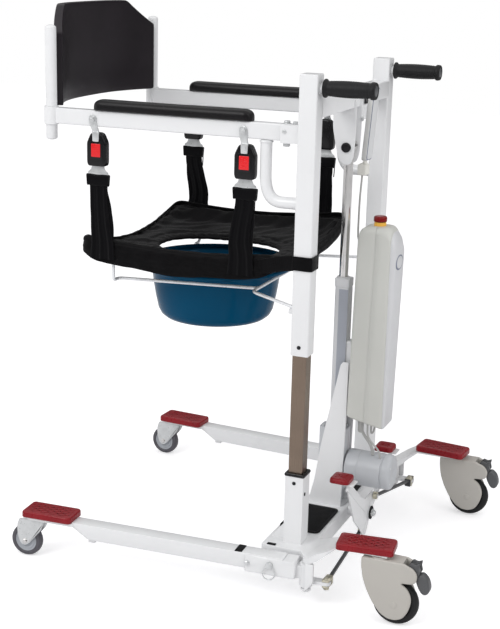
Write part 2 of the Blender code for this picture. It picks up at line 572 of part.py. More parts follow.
def make_rear_caster(side):
    name = SIDE_NAME[side]
    with Within(Matrix.Translation(Vector((0, side * REAR_Y, 0)) * MM)):
        top = REAR_HOUSING_LOW - 1
        outline = [(-182, top), (-184, 108), (-196, 80), (-206, 50), (-215, 27), (-227, 18), (-242, 15),
                   (-258, 13), (-274, 17), (-286, 30), (-291, 50), (-287, 72), (-293, 92), (-297, 108),
                   (-295, 128), (-287, top)]
        fork = plate("rear_fork", outline, -REAR_CHEEK_OUT, REAR_CHEEK_OUT, "xz")
        soften(fork, 4, 1)
        room = REAR_CHEEK_IN
        axle = (REAR_WHEEL_X, REAR_WHEEL_R)
        slot = hole("wheel_room", (axle[0], -room, axle[1]), (axle[0], room, axle[1]), REAR_WHEEL_R + 3)
        low = box("low_room", (axle[0] - 60, axle[0] + 34), (-room, room), (-5, 40))
        brake_room = box("brake_room", (-310, -274), (-room, room), (95, top + 5))
        stem = rod("rear_stem", (REAR_AXIS_X, 0, top - 3), (REAR_AXIS_X, 0, REAR_STEM_TOP), REAR_STEM_R)
        pin = rod("rear_axle", (axle[0], -room - 2, axle[1]), (axle[0], room + 2, axle[1]), AXLE_R)
        brake_pin = rod("brake_pin", (BRAKE_PIN_X, -room - 2, BRAKE_PIN_Z), (BRAKE_PIN_X, room + 2, BRAKE_PIN_Z),
                        BRAKE_PIN_R, 12)
        fuse(cut(fork, slot, low, brake_room), stem, pin, brake_pin)
        finish(fork, f"rear_caster_fork_{name}", "warm_grey", (REAR_AXIS_X, 0, top))
        half, r, bore = REAR_WHEEL_WIDTH / 2, REAR_WHEEL_R, AXLE_R + RUNNING
        profile = [(bore, half), (36, half - 1), (r - 4, half - 1), (r, half - 5), (r, 5 - half),
                   (r - 4, 1 - half), (36, 1 - half), (bore, -half)]
        wheel = turned("rear_wheel", profile, (axle[0], 0, axle[1]), (0, 1, 0), 24)
        finish(wheel, f"rear_caster_wheel_{name}", "black_rubber", (axle[0], 0, axle[1]))
        tread = [(-281, 106), (-280, 121), (-296, 131), (-314, 128), (-325, 112), (-327, 97), (-319, 94),
                 (-315, 108), (-306, 117), (-295, 107)]
        brake = plate("brake", tread, -BRAKE_HALF, BRAKE_HALF, "xz")
        soften(brake, 1.5, 1)
        opening = hole("brake_bore", (BRAKE_PIN_X, -30, BRAKE_PIN_Z), (BRAKE_PIN_X, 30, BRAKE_PIN_Z),
                       BRAKE_PIN_R + RUNNING)
        finish(cut(brake, opening), f"rear_brake_pedal_{name}", "black_plastic", (BRAKE_PIN_X, 0, BRAKE_PIN_Z))
        low = REAR_HOUSING_TOP + GAP
        cover = box("cover", (REAR_COVER_FRONT - COVER_LENGTH, REAR_COVER_FRONT),
                    (-COVER_WIDTH / 2, COVER_WIDTH / 2), (low, low + COVER_THICK))
        round_upright(cover, COVER_CORNER)
        soften(cover, 3, 1, 60)
        finish(cover, f"caster_cover_rear_{name}", "red_plastic")


def tail_point(side):
    return leg_frame(side) @ (Vector((-TAIL_LENGTH, 0, TAIL_Z)) * MM) / MM


def make_rocker():
    x0, x1 = ROCKER_X, ROCKER_X + ROCKER_PLATE
    centre = (0, ROCKER_Z)
    hub = rod("hub", (x0, *centre), (x1, *centre), ROCKER_HUB_R)
    parts = []
    for (dy, dz), wide in ((PEDAL_LEFT, PEDAL_ARM), (PEDAL_RIGHT, PEDAL_ARM), (LOW_BALL, 18), (HIGH_BALL, 18)):
        reach = Vector((dy, dz - (wide * 0.6 if abs(dy) > 50 else 0)))
        along = reach.normalized()
        across = Vector((-along.y, along.x)) * wide / 2
        bar = [across, -across, reach - across, reach + across]
        parts.append(plate("arm", [(p.x, p.y + ROCKER_Z) for p in bar], x0, x1, "yz"))
    for dy, dz in (LOW_BALL, HIGH_BALL):
        parts.append(rod("boss", (x0, dy, dz + ROCKER_Z), (x1, dy, dz + ROCKER_Z), BALL_R))
    y, z = LOW_BALL[0], LOW_BALL[1] + ROCKER_Z
    parts.append(rod("low_stud", (x0 + 1, y, z), (x1 + BALL_WIDTH + 3, y, z), STUD_R))
    y, z = HIGH_BALL[0], HIGH_BALL[1] + ROCKER_Z
    parts.append(rod("high_stud", (x1 - 1, y, z), (x0 - BALL_WIDTH - 3, y, z), STUD_R))
    for dy, dz in (PEDAL_LEFT, PEDAL_RIGHT):
        level = dz + ROCKER_Z
        parts.append(box("tab", (ROCKER_X - 14, ROCKER_X + 44), (dy - 16, dy + 16), (level - TAB_THICK, level)))
    bore = hole("rocker_bore", (x0 - 5, *centre), (x1 + 5, *centre), SHAFT_R + RUNNING)
    finish(cut(fuse(hub, *parts), bore), "spreader_rocker", "white_paint", (ROCKER_X, 0, ROCKER_Z))
    for side, (dy, dz) in ((LEFT, PEDAL_LEFT), (RIGHT, PEDAL_RIGHT)):
        level = dz + ROCKER_Z + GAP
        middle = ROCKER_X + 18
        pad = box("pad", (middle - PEDAL_LENGTH / 2, middle + PEDAL_LENGTH / 2),
                  (dy - PEDAL_WIDTH / 2, dy + PEDAL_WIDTH / 2), (level, level + PEDAL_THICK))
        round_upright(pad, 8, 3)
        soften(pad, 2, 1, 60)
        finish(pad, f"pedal_pad_{SIDE_NAME[side]}", "red_plastic", (ROCKER_X, 0, ROCKER_Z))


def make_tie(side):
    (dy, dz) = LOW_BALL if side == LEFT else HIGH_BALL
    reach = BALL_GAP + BALL_WIDTH / 2
    x_ball = ROCKER_X + ROCKER_PLATE + reach if side == LEFT else ROCKER_X - reach
    start = Vector((x_ball, dy, dz + ROCKER_Z))
    end = tail_point(side)
    along = (end - start).normalized()
    shank = rod("shank", start + along * 6, end - along * 14, TIE_R)
    half = Vector((BALL_WIDTH / 2, 0, 0))
    eye = rod("rod_end", start - half, start + half, BALL_R)
    eye_bore = hole("rod_end_bore", start - half * 2, start + half * 2, STUD_R + RUNNING)
    clevis = box("clevis", (end.x - 8, end.x + 8), spread(side, abs(end.y) - 24, abs(end.y) + 9), (50, 70))
    soften(clevis, 2, 1)
    mouth = box("mouth", (end.x - 20, end.x + 20), spread(side, abs(end.y) - 12.5, abs(end.y) + 20),
                (TAIL_Z - TAIL_THICK / 2 - 0.8, TAIL_Z + TAIL_THICK / 2 + 0.8))
    pin = rod("clevis_pin", (end.x, end.y, 46), (end.x, end.y, 71), CLEVIS_PIN_R)
    nut = rod("clevis_nut", (end.x, end.y, 45), (end.x, end.y, 51), 6.5, 6)
    cut(clevis, mouth)
    fuse(clevis, shank, eye, pin, nut)
    finish(cut(clevis, eye_bore), f"tie_rod_{SIDE_NAME[side]}", "black_plastic", start)


def make_lift_frame():
    half, inner, glide = MAST_SIDE / 2, MAST_SIDE / 2 - MAST_WALL, COLUMN_SIDE / 2 + RUNNING
    frame = box("beam", (-half, half), (-TRACK, TRACK), (BEAM_LOW, BEAM_TOP))
    parts, cuts = [], []
    for side in WHITE_SIDES:
        y = side * TRACK
        parts.append(box("mast", (-half, half), (y - half, y + half), (MAST_BOTTOM, MAST_TOP)))
        cuts.append(box("mast_bore", (-inner, inner), (y - inner, y + inner),
                        (MAST_BOTTOM + GLIDE_HEIGHT, MAST_TOP - 4)))
        cuts.append(box("glide_bore", (-glide, glide), (y - glide, y + glide),
                        (MAST_BOTTOM - 5, MAST_BOTTOM + GLIDE_HEIGHT + 5)))
        bar = (-half + 3, y, GRIP_Z)
        parts.append(rod("grip_bar", bar, (GRIP_REAR + 6, y, GRIP_Z), GRIP_BAR_R))
        rail_y = side * RAIL_Y
        wide = RAIL_WIDTH / 2 + GAP
        floor = RAIL_LOW - GAP
        wall = RAIL_BRACKET_WALL
        parts.append(box("rail_bracket", (half - 2, RAIL_BRACKET_FRONT),
                         (rail_y - wide - wall, rail_y + wide + wall), (floor - wall, RAIL_TOP - 1)))
        cuts.append(box("rail_channel", (half, RAIL_BRACKET_FRONT + 5), (rail_y - wide, rail_y + wide),
                        (floor, RAIL_TOP + 5)))
        cuts.append(hole("bolt_room", (51, rail_y, floor - 9), (51, rail_y, floor + 5), 4 + GAP))
        route = [(half - 4, y, BRACE_END_Z), (BRACE_X, y, BRACE_END_Z), (BRACE_X, y, floor)]
        parts.append(tube("brace", bent(route, BRACE_BEND, 6), BRACE_R, 3))
        lug = [(-25, BEAM_LOW + 20), (28, BEAM_LOW + 20), (28, 1000), (14, 935), (5, 922), (-6, 918), (-17, 922),
               (-23, 940), (-25, 990)]
        parts.append(plate("lug", lug, *spread(side, LUG_Y, LUG_Y + LUG_PLATE), "xz"))
        parts.append(rod("pin_end", (ACTUATOR_X, side * (LUG_Y + 1), LUG_PIN_Z),
                         (ACTUATOR_X, side * (LUG_Y + LUG_PLATE + 5), LUG_PIN_Z), LUG_HEAD_R))
        seat_top = HOOK_Z - WIRE_R - GAP
        parts.append(box("hook_seat", (half - 2, 34), spread(side, HOOK_Y - 7, HOOK_Y + 7), (seat_top - 11, seat_top)))
    parts.append(rod("lug_pin", (ACTUATOR_X, -LUG_Y - 3, LUG_PIN_Z), (ACTUATOR_X, LUG_Y + 3, LUG_PIN_Z), LUG_PIN_R))
    finish(cut(fuse(frame, *parts), *cuts), "lift_frame", "white_paint")


def make_arm(side):
    name = SIDE_NAME[side]
    y = side * RAIL_Y
    half = RAIL_WIDTH / 2
    rail = box("rail", (MAST_SIDE / 2 + GAP, BACK_X - 8), (y - half, y + half), (RAIL_LOW, RAIL_TOP))
    soften(rail, 3, 1)
    post_y = side * BACK_Y
    socket = rod("socket", (BACK_X, post_y, RAIL_LOW - 2), (BACK_X, post_y, RAIL_TOP + 2), SOCKET_R)
    bore = hole("socket_bore", (BACK_X, post_y, RAIL_LOW - 9), (BACK_X, post_y, RAIL_TOP + 9), BACK_POST_R + RUNNING)
    outer = RAIL_Y + half
    strap = outer + GAP + 3 + GAP
    bolts = []
    for x in (BOLT_FRONT_X, BOLT_REAR_X):
        bolts.append(rod("bolt", (x, side * (outer - 3), BOLT_Z), (x, side * (strap + 2), BOLT_Z), BOLT_R))
        bolts.append(rod("bolt_head", (x, side * strap, BOLT_Z), (x, side * (strap + 5), BOLT_Z), BOLT_HEAD_R, 6))
    bracket_low = RAIL_LOW - GAP - RAIL_BRACKET_WALL
    bolts.append(rod("upright", (51, y, RAIL_LOW + 5), (51, y, bracket_low - 6), 4))
    bolts.append(rod("upright_nut", (51, y, bracket_low - GAP), (51, y, bracket_low - 9), 8, 6))
    bolts.append(rod("upright_head", (51, y, RAIL_TOP - 2), (51, y, RAIL_TOP + 7), 7))
    bolts.append(rod("second_head", (33, y, RAIL_TOP - 2), (33, y, RAIL_TOP + 6), 5))
    finish(cut(fuse(rail, socket, *bolts), bore), f"arm_rail_{name}", "white_paint")
    low = RAIL_TOP + GAP
    y_pad = side * 248
    pad = box("pad", (PAD_REAR, PAD_FRONT), (y_pad - PAD_WIDTH / 2, y_pad + PAD_WIDTH / 2), (low, low + PAD_HEIGHT))
    round_upright(pad, 14, 3)
    soften(pad, 8, 2, 60)
    finish(pad, f"arm_pad_{name}", "black_plastic")
    y_grip = side * TRACK
    length = GRIP_FRONT - GRIP_REAR
    r = GRIP_R
    inner = GRIP_BAR_R + GAP
    profile = [(inner, 0), (r + 2.5, 0), (r + 2.5, 4), (r - 2, 8), (r, length * 0.5), (r - 2, length - 9),
               (r + 1, length - 7), (r - 1, length), (0, length), (0, length - 5), (inner, length - 5)]
    grip = turned("grip", profile, (GRIP_FRONT, y_grip, GRIP_Z), (-1, 0, 0), 18)
    finish(grip, f"push_grip_{name}", "black_rubber")


def panel_x(y, radius=PANEL_RADIUS):
    return PANEL_MID_X - PANEL_RADIUS + math.sqrt(radius * radius - y * y)


def make_backrest():
    stations = [-PANEL_HALF, 3 - PANEL_HALF, 9 - PANEL_HALF, -205, -185, -165, -CORNER_START, -100, -50, 0]
    stations += [-y for y in reversed(stations[:-1])]

    def top_at(y):
        a = abs(y)
        crown = PANEL_TOP - 6 * (a / CORNER_START) ** 2
        if a <= CORNER_START:
            return crown
        share = (a - CORNER_START) / (PANEL_HALF - CORNER_START)
        return PANEL_TOP - 6 - (PANEL_TOP - 6 - PANEL_TIP) * (0.78 * share + 0.22 * share ** 6)

    def low_at(y):
        return PANEL_LOW + max(0.0, abs(y) - PANEL_HALF + 9) * 0.8

    work = bmesh.new()
    rows = []
    for y in stations:
        rows.append([
            work.verts.new(Vector((panel_x(y), y, low_at(y))) * MM),
            work.verts.new(Vector((panel_x(y), y, top_at(y))) * MM),
        ])
    for near, far in zip(rows, rows[1:]):
        work.faces.new((near[0], far[0], far[1], near[1]))
    data = bpy.data.meshes.new("panel")
    work.to_mesh(data)
    work.free()
    panel = add_object("panel", data, Matrix.Identity(4))
    shell = panel.modifiers.new("thickness", "SOLIDIFY")
    shell.thickness = PANEL_THICK * MM
    shell.offset = 1
    shell.use_even_offset = True
    shell.use_quality_normals = True
    lift = (BACK_X, 0, BACK_LOW)
    finish(panel, "backrest_panel", "black_plastic", lift)

    reach = PANEL_RADIUS + PANEL_THICK + 0.9 + BACK_BAR_R
    posts = []
    for side in WHITE_SIDES:
        y = side * BACK_Y
        r = BACK_POST_R
        height = BACK_TOP - BACK_LOW
        profile = [(0, 0), (r - 4, 0), (r, 4), (r, height - 4), (r - 4, height), (0, height)]
        posts.append(turned("back_post", profile, (BACK_X, y, BACK_LOW), (0, 0, 1), 16))
    bars = []
    for z in BACK_BAR_ZS:
        spots = [(BACK_X, -BACK_Y, z)]
        spots += [(panel_x(y, reach), y, z) for y in range(-216, 217, 54)]
        spots.append((BACK_X, BACK_Y, z))
        bars.append(tube("back_bar", spots, BACK_BAR_R, 2))
    finish(fuse(posts[0], *bars, posts[1]), "backrest_frame", "white_paint", lift)


def make_actuator():
    x0, x1 = ACTUATOR_X - TUBE_HALF_X, ACTUATOR_X + TUBE_HALF_X
    body = box("tube", (x0, x1), (-TUBE_HALF_Y, TUBE_HALF_Y), (GEAR_TOP - 20, TUBE_TOP))
    round_upright(body, 7, 3)
    wide = CHEEK_Y - GAP
    gear = box("gear", (GEAR_REAR, GEAR_FRONT), (-wide, wide), (GEAR_LOW, GEAR_TOP))
    round_upright(gear, 14, 3)
    foot = box("foot", (-22, 20), (-18, 18), (PLATFORM_TOP + GAP, GEAR_LOW + 5))
    neck = rod("motor_neck", (GEAR_REAR + 8, 0, MOTOR_Z), (MOTOR_FRONT - 4, 0, MOTOR_Z), 23)
    length = MOTOR_FRONT - MOTOR_REAR
    r = MOTOR_R
    profile = [(0, 0), (r - 3, 0), (r, 4), (r, length - 25), (r - 2, length - 23), (r - 2, length - 21),
               (r, length - 19), (r, length - 8), (r - 5, length), (0, length)]
    motor = turned("motor", profile, (MOTOR_FRONT, 0, MOTOR_Z), (-1, 0, 0), 20)
    bore = hole("rod_bore", (ACTUATOR_X, 0, ROD_BORE_LOW), (ACTUATOR_X, 0, TUBE_TOP + 5), ROD_BORE_R)
    finish(cut(fuse(body, gear, foot, neck, motor), bore), "actuator_body", "grey_housing")

    eye_half = LUG_Y - 3
    stem = rod("stem", (ACTUATOR_X, 0, ROD_LOW), (ACTUATOR_X, 0, LUG_PIN_Z - 6), ROD_R)
    eye = rod("eye", (ACTUATOR_X, -eye_half, LUG_PIN_Z), (ACTUATOR_X, eye_half, LUG_PIN_Z), 16)
    opening = hole("eye_hole", (ACTUATOR_X, -30, LUG_PIN_Z), (ACTUATOR_X, 30, LUG_PIN_Z), LUG_PIN_R + GAP)
    finish(cut(fuse(stem, eye), opening), "actuator_rod", "stainless", (ACTUATOR_X, 0, LUG_PIN_Z))


def box_top(x):
    """The height of the control box's sloping top at x."""
    return 757 + (-49 - x) * (787 - 757) / (131 - 49)


def make_control_box():
    outline = [(-38, 342), (-48.6, 741), (-52, 751), (-60, 760), (-115, 781), (-124, 778), (-129, 768),
               (-130.6, 755), (-121, 324)]
    case = plate("case", outline, -CONTROL_HALF, CONTROL_HALF, "xz")
    soften(case, 9, 2, 60)
    back = ACTUATOR_X - TUBE_HALF_X - GAP
    mount = box("mount", (-60, back), (-14, 14), (500, 640))
    level = box_top(STOP_X)
    collar = rod("collar", (STOP_X, 0, level - 8), (STOP_X, 0, STOP_COLLAR_TOP), STOP_COLLAR_R)
    bore = hole("stop_bore", (STOP_X, 0, STOP_COLLAR_TOP - 22), (STOP_X, 0, STOP_COLLAR_TOP + 5), STOP_STEM_R + RUNNING)
    finish(cut(fuse(case, mount, collar), bore), "control_box", "grey_housing")
    cap = STOP_COLLAR_TOP + STOP_TRAVEL + 0.5
    r = STOP_CAP_R
    profile = [(0, STOP_COLLAR_TOP - 14), (STOP_STEM_R, STOP_COLLAR_TOP - 14), (STOP_STEM_R, cap), (r, cap),
               (r, cap + 6), (r - 2, cap + 10), (r - 6, cap + 12), (0, cap + 12)]
    button = turned("stop", profile, (STOP_X, 0, 0), (0, 0, 1), 18)
    finish(button, "stop_button", "red_button", (STOP_X, 0, cap))


def make_handset():
    half = HANDSET_WIDTH / 2
    low_y, high_y = HANDSET_Y - half, HANDSET_Y + half
    shift = (HANDSET_TOP - HANDSET_LOW) * HANDSET_LEAN
    outline = [(HANDSET_FRONT, HANDSET_LOW), (HANDSET_FRONT - shift, HANDSET_TOP),
               (HANDSET_FRONT - shift - HANDSET_THICK, HANDSET_TOP), (HANDSET_FRONT - HANDSET_THICK, HANDSET_LOW)]
    body = plate("handset", outline, low_y, high_y, "xz")
    soften(body, 4, 2)
    neck = (HANDSET_FRONT - HANDSET_THICK / 2, HANDSET_Y)
    neck = rod("neck", (*neck, HANDSET_LOW + 4), (BLOCK_X, HANDSET_Y, BLOCK_TOP - 3), 5)
    block = box("block", (BLOCK_X - 11, BLOCK_X + 11), (HANDSET_Y - 14, HANDSET_Y + 14), (BLOCK_LOW, BLOCK_TOP))
    soften(block, 4, 1)
    entry = box("entry", (HOOK_REAR - RUNNING, HANDSET_FRONT), (HANDSET_Y - 6, HANDSET_Y + 6),
                (HOOK_LOW - 10, HOOK_LOW + 3.3))
    catch = box("catch", (HOOK_REAR - RUNNING, HOOK_REAR + 3.2), (HANDSET_Y - 6, HANDSET_Y + 6),
                (HOOK_LOW - 10, HOOK_LIP + GAP))
    finish(cut(fuse(body, neck, block), entry, catch), "handset", "grey_housing")

    face = -MAST_SIDE / 2 - GAP
    back = box("hook_plate", (face - 2.7, face), (HANDSET_Y - 14, HANDSET_Y + 14), (BEAM_LOW + 4, BEAM_TOP - 4))
    arm = box("hook_arm", (HOOK_REAR, face - 1), (HANDSET_Y - 5, HANDSET_Y + 5), (HOOK_LOW, HOOK_LOW + 3))
    lip = box("hook_lip", (HOOK_REAR, HOOK_REAR + 2.9), (HANDSET_Y - 5, HANDSET_Y + 5), (HOOK_LOW, HOOK_LIP))
    finish(fuse(back, arm, lip), "handset_holder", "black_plastic")

    far = -CONTROL_HALF - CORD_R - 1.5
    under = CONTROL_BOTTOM - 1.6
    route = [(BLOCK_X, HANDSET_Y, BLOCK_LOW - GAP), (-16, HANDSET_Y + 1, 830), (-17, -55, 742),
             (-56, far, 650), (-82, far, 540), (-82, far, 286), (-82, -22, 286), (-82, -22, under)]
    finish(tube("cord", bent(route, 9, 3), CORD_R, 1), "handset_cord", "black_plastic")
    start = (-66, 8, 331.5)
    route = bent([start, (-68, 10, 300), (-96, 14, 268), (-100, 14, MOTOR_Z + MOTOR_R - 0.9)], 12, 4)
    plug_z = (296, 325)
    cable = tube("cable", route, 3.5, 1)
    plug = rod("plug", (-66, 8, plug_z[0]), (-66, 8, plug_z[1]), 7)
    finish(fuse(cable, plug), "actuator_cable", "black_plastic")


def make_buckle(side, place, x, bolt_x):
    name = f"{place}_{SIDE_NAME[side]}"
    inner, outer = BUCKLE_Y - BUCKLE_THICK / 2, BUCKLE_Y + BUCKLE_THICK / 2
    half = BUCKLE_WIDTH / 2
    body = box("buckle", (x - half, x + half), spread(side, inner, outer), (BUCKLE_LOW, BUCKLE_TOP))
    soften(body, 5, 2)
    face = RAIL_Y + RAIL_WIDTH / 2 + GAP
    hanger = [(x - 12, BUCKLE_TOP - 10), (bolt_x - 11, BOLT_Z - 4), (bolt_x - 8, BOLT_Z + 8), (bolt_x, BOLT_Z + 12),
              (bolt_x + 8, BOLT_Z + 8), (bolt_x + 11, BOLT_Z - 4), (x + 12, BUCKLE_TOP - 10)]
    hanger = plate("hanger", hanger, *spread(side, face, face + 3), "xz")
    opening = hole("bolt_hole", (bolt_x, side * (face - 5), BOLT_Z), (bolt_x, side * (face + 9), BOLT_Z), BOLT_R + GAP)
    slot_x, slot_y = TONGUE_WIDTH / 2 + 0.6, TONGUE_THICK / 2 + 0.6
    y = side * BUCKLE_Y
    slot = box("slot", (x - slot_x, x + slot_x), (y - slot_y, y + slot_y), (BUCKLE_LOW - 5, TONGUE_TOP + 2))
    wide = BUTTON_WIDTH / 2
    pocket = box("pocket", (x - wide, x + wide), spread(side, outer - BUTTON_DEEP, outer + 5), (BUTTON_LOW, BUTTON_TOP))
    finish(cut(fuse(body, hanger), opening, slot, pocket), f"buckle_{name}", "black_plastic")
    fit = wide - RUNNING
    button = box("button", (x - fit, x + fit), spread(side, outer - BUTTON_DEEP + 3.5, outer + 0.5),
                 (BUTTON_LOW + RUNNING, BUTTON_TOP - RUNNING))
    soften(button, 1.2, 1)
    finish(button, f"release_button_{name}", "red_button", (x, side * outer, (BUTTON_LOW + BUTTON_TOP) / 2))


def rounded(half_x, half_y, power, angle):
    """The point of a rounded rectangle's edge in one direction from its middle."""
    c, s = math.cos(angle), math.sin(angle)
    reach = (abs(c / half_x) ** power + abs(s / half_y) ** power) ** (-1 / power)
    return Vector((c * reach, s * reach))


def seat_edge(x):
    """How far from the middle plane the seat's side edge stands at x."""
    share = abs(x - SEAT_X) / SEAT_HALF_LENGTH
    return SEAT_HALF_WIDTH * (1 - share ** SEAT_POWER) ** (1 / SEAT_POWER)


def seat_outline(angle):
    """The seat's outer edge and its opening's edge in one direction, seen from above."""
    outer = rounded(SEAT_HALF_LENGTH, SEAT_HALF_WIDTH, SEAT_POWER, angle)
    inner = rounded(HOLE_HALF_LENGTH, HOLE_HALF_WIDTH, 2.4, angle)
    return outer + Vector((SEAT_X, 0)), inner + Vector((HOLE_X, 0))


def seat_angles():
    """Even directions round the seat, with more of them at its four corners."""
    corner = math.atan2(SEAT_HALF_WIDTH, SEAT_HALF_LENGTH)
    near = math.radians(6)
    quarter = [(corner - near) * (i + 0.5) / 5 for i in range(5)]
    quarter += [corner + math.radians(turn) for turn in (-3.5, -1.2, 1.2, 3.5)]
    quarter += [corner + near + (math.pi / 2 - corner - near) * (i + 0.5) / 5 for i in range(5)]
    half = quarter + [math.pi - a for a in reversed(quarter)]
    return half + [math.pi + a for a in half]


def seat_section(angle):
    """One slice of the seat from its opening out to the rim, down the skirt and back underneath."""
    outer, inner = seat_outline(angle)
    side = abs(outer.y) / SEAT_HALF_WIDTH
    end = abs(outer.x - SEAT_X) / SEAT_HALF_LENGTH
    skirt = SEAT_EDGE + (SEAT_SKIRT - SEAT_EDGE) * side ** 6 * (1 - 0.55 * end ** 5)
    rim = SEAT_RIM_Z - SEAT_SAG * (1 - side ** 2)
    top, under = [], []
    for level in (0.0, 0.12, 0.35, 0.6, 0.85, 1.0):
        spot = inner.lerp(outer, level)
        z = HOLE_Z + (rim - HOLE_Z) * level ** 1.5
        inside = 0 < level < 1
        crown = 4.5 * math.sin(math.pi * level) ** 2 + 1.3 * math.cos(math.tau * level * 3)
        thick = SEAT_THICK if inside else SEAT_THICK * 0.5
        top.append((*spot, z + (crown if inside else 0)))
        if level < 1:
            under.append((*spot, z - thick))
    inward = (inner - outer).normalized() * SKIRT_THICK
    low = rim - skirt
    hem = [(*outer, low), (*(outer + inward), low), (*(outer + inward * 1.2), rim - SEAT_THICK - 3.5)]
    return top + hem + under[::-1]


def make_sling():
    seat = loft("seat", [seat_section(angle) for angle in seat_angles()], closed=True)
    parts = []
    for side in WHITE_SIDES:
        for x_low, x_high in ((WEB_FRONT_LOW_X, BUCKLE_FRONT_X), (WEB_REAR_LOW_X, BUCKLE_REAR_X)):
            rings = []
            edge = seat_edge(x_low)
            for x, y, z in ((x_low, edge + 1, WEB_LOW), (x_low, edge + 1, SEAT_RIM_Z + 3), (x_high, BUCKLE_Y, 868)):
                a, b = x - WEB_WIDTH / 2, x + WEB_WIDTH / 2
                y0, y1 = spread(side, y - WEB_THICK / 2, y + WEB_THICK / 2)
                rings.append([(a, y0, z), (b, y0, z), (b, y1, z), (a, y1, z)])
            parts.append(loft("webbing", rings))
            fold = box("fold", (x_high - 28, x_high + 28), spread(side, BUCKLE_Y - 4.5, BUCKLE_Y + 4.5), (864, 891))
            parts.append(soften(fold, 3, 2))
            y = side * BUCKLE_Y
            parts.append(box("latch", (x_high - TONGUE_WIDTH / 2, x_high + TONGUE_WIDTH / 2),
                             (y - TONGUE_THICK / 2, y + TONGUE_THICK / 2), (886, TONGUE_TOP)))
        half = MAST_SIDE / 2 + GAP
        y = side * TRACK
        loop = box("band", (-half - BAND_THICK, half + BAND_THICK), (y - half - BAND_THICK, y + half + BAND_THICK),
                   (BAND_LOW, BAND_TOP))
        round_upright(loop, 4, 2)
        opening = box("band_hole", (-half, half), (y - half, y + half), (BAND_LOW - 9, BAND_TOP + 9))
        cut(loop, opening)
        tail = 100
        y0, y1 = spread(side, seat_edge(tail) - 3, seat_edge(tail) + 0.6)
        rings = []
        for x, low, high in ((half + 1, BAND_LOW + 1, BAND_TOP - 1), (tail, SEAT_RIM_Z - 40, SEAT_RIM_Z + 1)):
            rings.append([(x, y0, low), (x, y1, low), (x, y1, high), (x, y0, high)])
        parts.append(loop)
        parts.append(loft("band_tail", rings))
    finish(fuse(seat, *parts), "sling", "black_fabric")


def make_pan():
    rim = WIRE_Z + WIRE_R + GAP
    low = rim - PAN_DEPTH
    body, wall = PAN_BODY_R, PAN_WALL
    outside = [(PAN_BOTTOM_R, low), (body - 31, low + 7), (body - 16, low + 26), (body - 9, low + 59),
               (body - 4, low + 89), (body, rim - 2), (body + 3, rim), (PAN_RIM_R, rim), (PAN_RIM_R, rim + PAN_LIP)]
    inside = [(PAN_RIM_R - wall, rim + PAN_LIP), (PAN_RIM_R - wall - 1, rim + wall + 1), (body, rim + wall),
              (body - wall - 1, rim - 3), (body - wall - 4, low + 89), (body - wall - 9, low + 59),
              (body - wall - 16, low + 27), (body - wall - 31, low + 9.5), (PAN_BOTTOM_R, low + wall)]
    profile = [(0, low), *outside, *inside, (0, low + wall)]
    pan = turned("pan", profile, (PAN_X, 0, 0), (0, 0, 1), 28)
    finish(pan, "pan", "blue_plastic", (PAN_X, 0, low))
    rear = bent([(HOOK_TIP, HOOK_Y, HOOK_Z), (WIRE_REAR_X, WIRE_REAR_HALF, WIRE_Z),
                 (WIRE_REAR_X, -WIRE_REAR_HALF, WIRE_Z), (HOOK_TIP, -HOOK_Y, HOOK_Z)], 15, 3)
    carrier = tube("carrier", rear, WIRE_R, 1)
    for side in WHITE_SIDES:
        path = [(WIRE_REAR_X, side * WIRE_JOIN_HALF, WIRE_Z), (WIRE_FRONT_X, side * WIRE_FRONT_HALF, WIRE_Z),
                (WIRE_DROP_X, side * WIRE_DROP_Y, WIRE_Z), (WIRE_DROP_X, side * WIRE_DROP_Y, WIRE_TOP)]
        fuse(carrier, tube("side_wire", bent(path, 12, 3), WIRE_R, 1))
    finish(carrier, "pan_carrier", "zinc")


def main():
    clear_scene()
    make_materials()
    make_base()
    make_columns()
    for side in WHITE_SIDES:
        make_leg(side)
        make_rear_caster(side)
        make_tie(side)
        make_arm(side)
        make_buckle(side, "front", BUCKLE_FRONT_X, BOLT_FRONT_X)
        make_buckle(side, "rear", BUCKLE_REAR_X, BOLT_REAR_X)
    make_rocker()
    make_lift_frame()
    make_backrest()
    make_actuator()
    make_control_box()
    make_handset()
    make_sling()
    make_pan()


main()
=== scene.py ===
"""The finished look of a mobile sit-on patient lift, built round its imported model.

Sizes are in millimetres until a mesh is made of them, and then in metres. +X points to the backrest,
+Y to the left and +Z up, with the floor at zero.
"""

import json
import logging
import math
from dataclasses import dataclass
from enum import Enum

import bmesh
import bpy
import numpy as np
from mathutils import Matrix, Vector

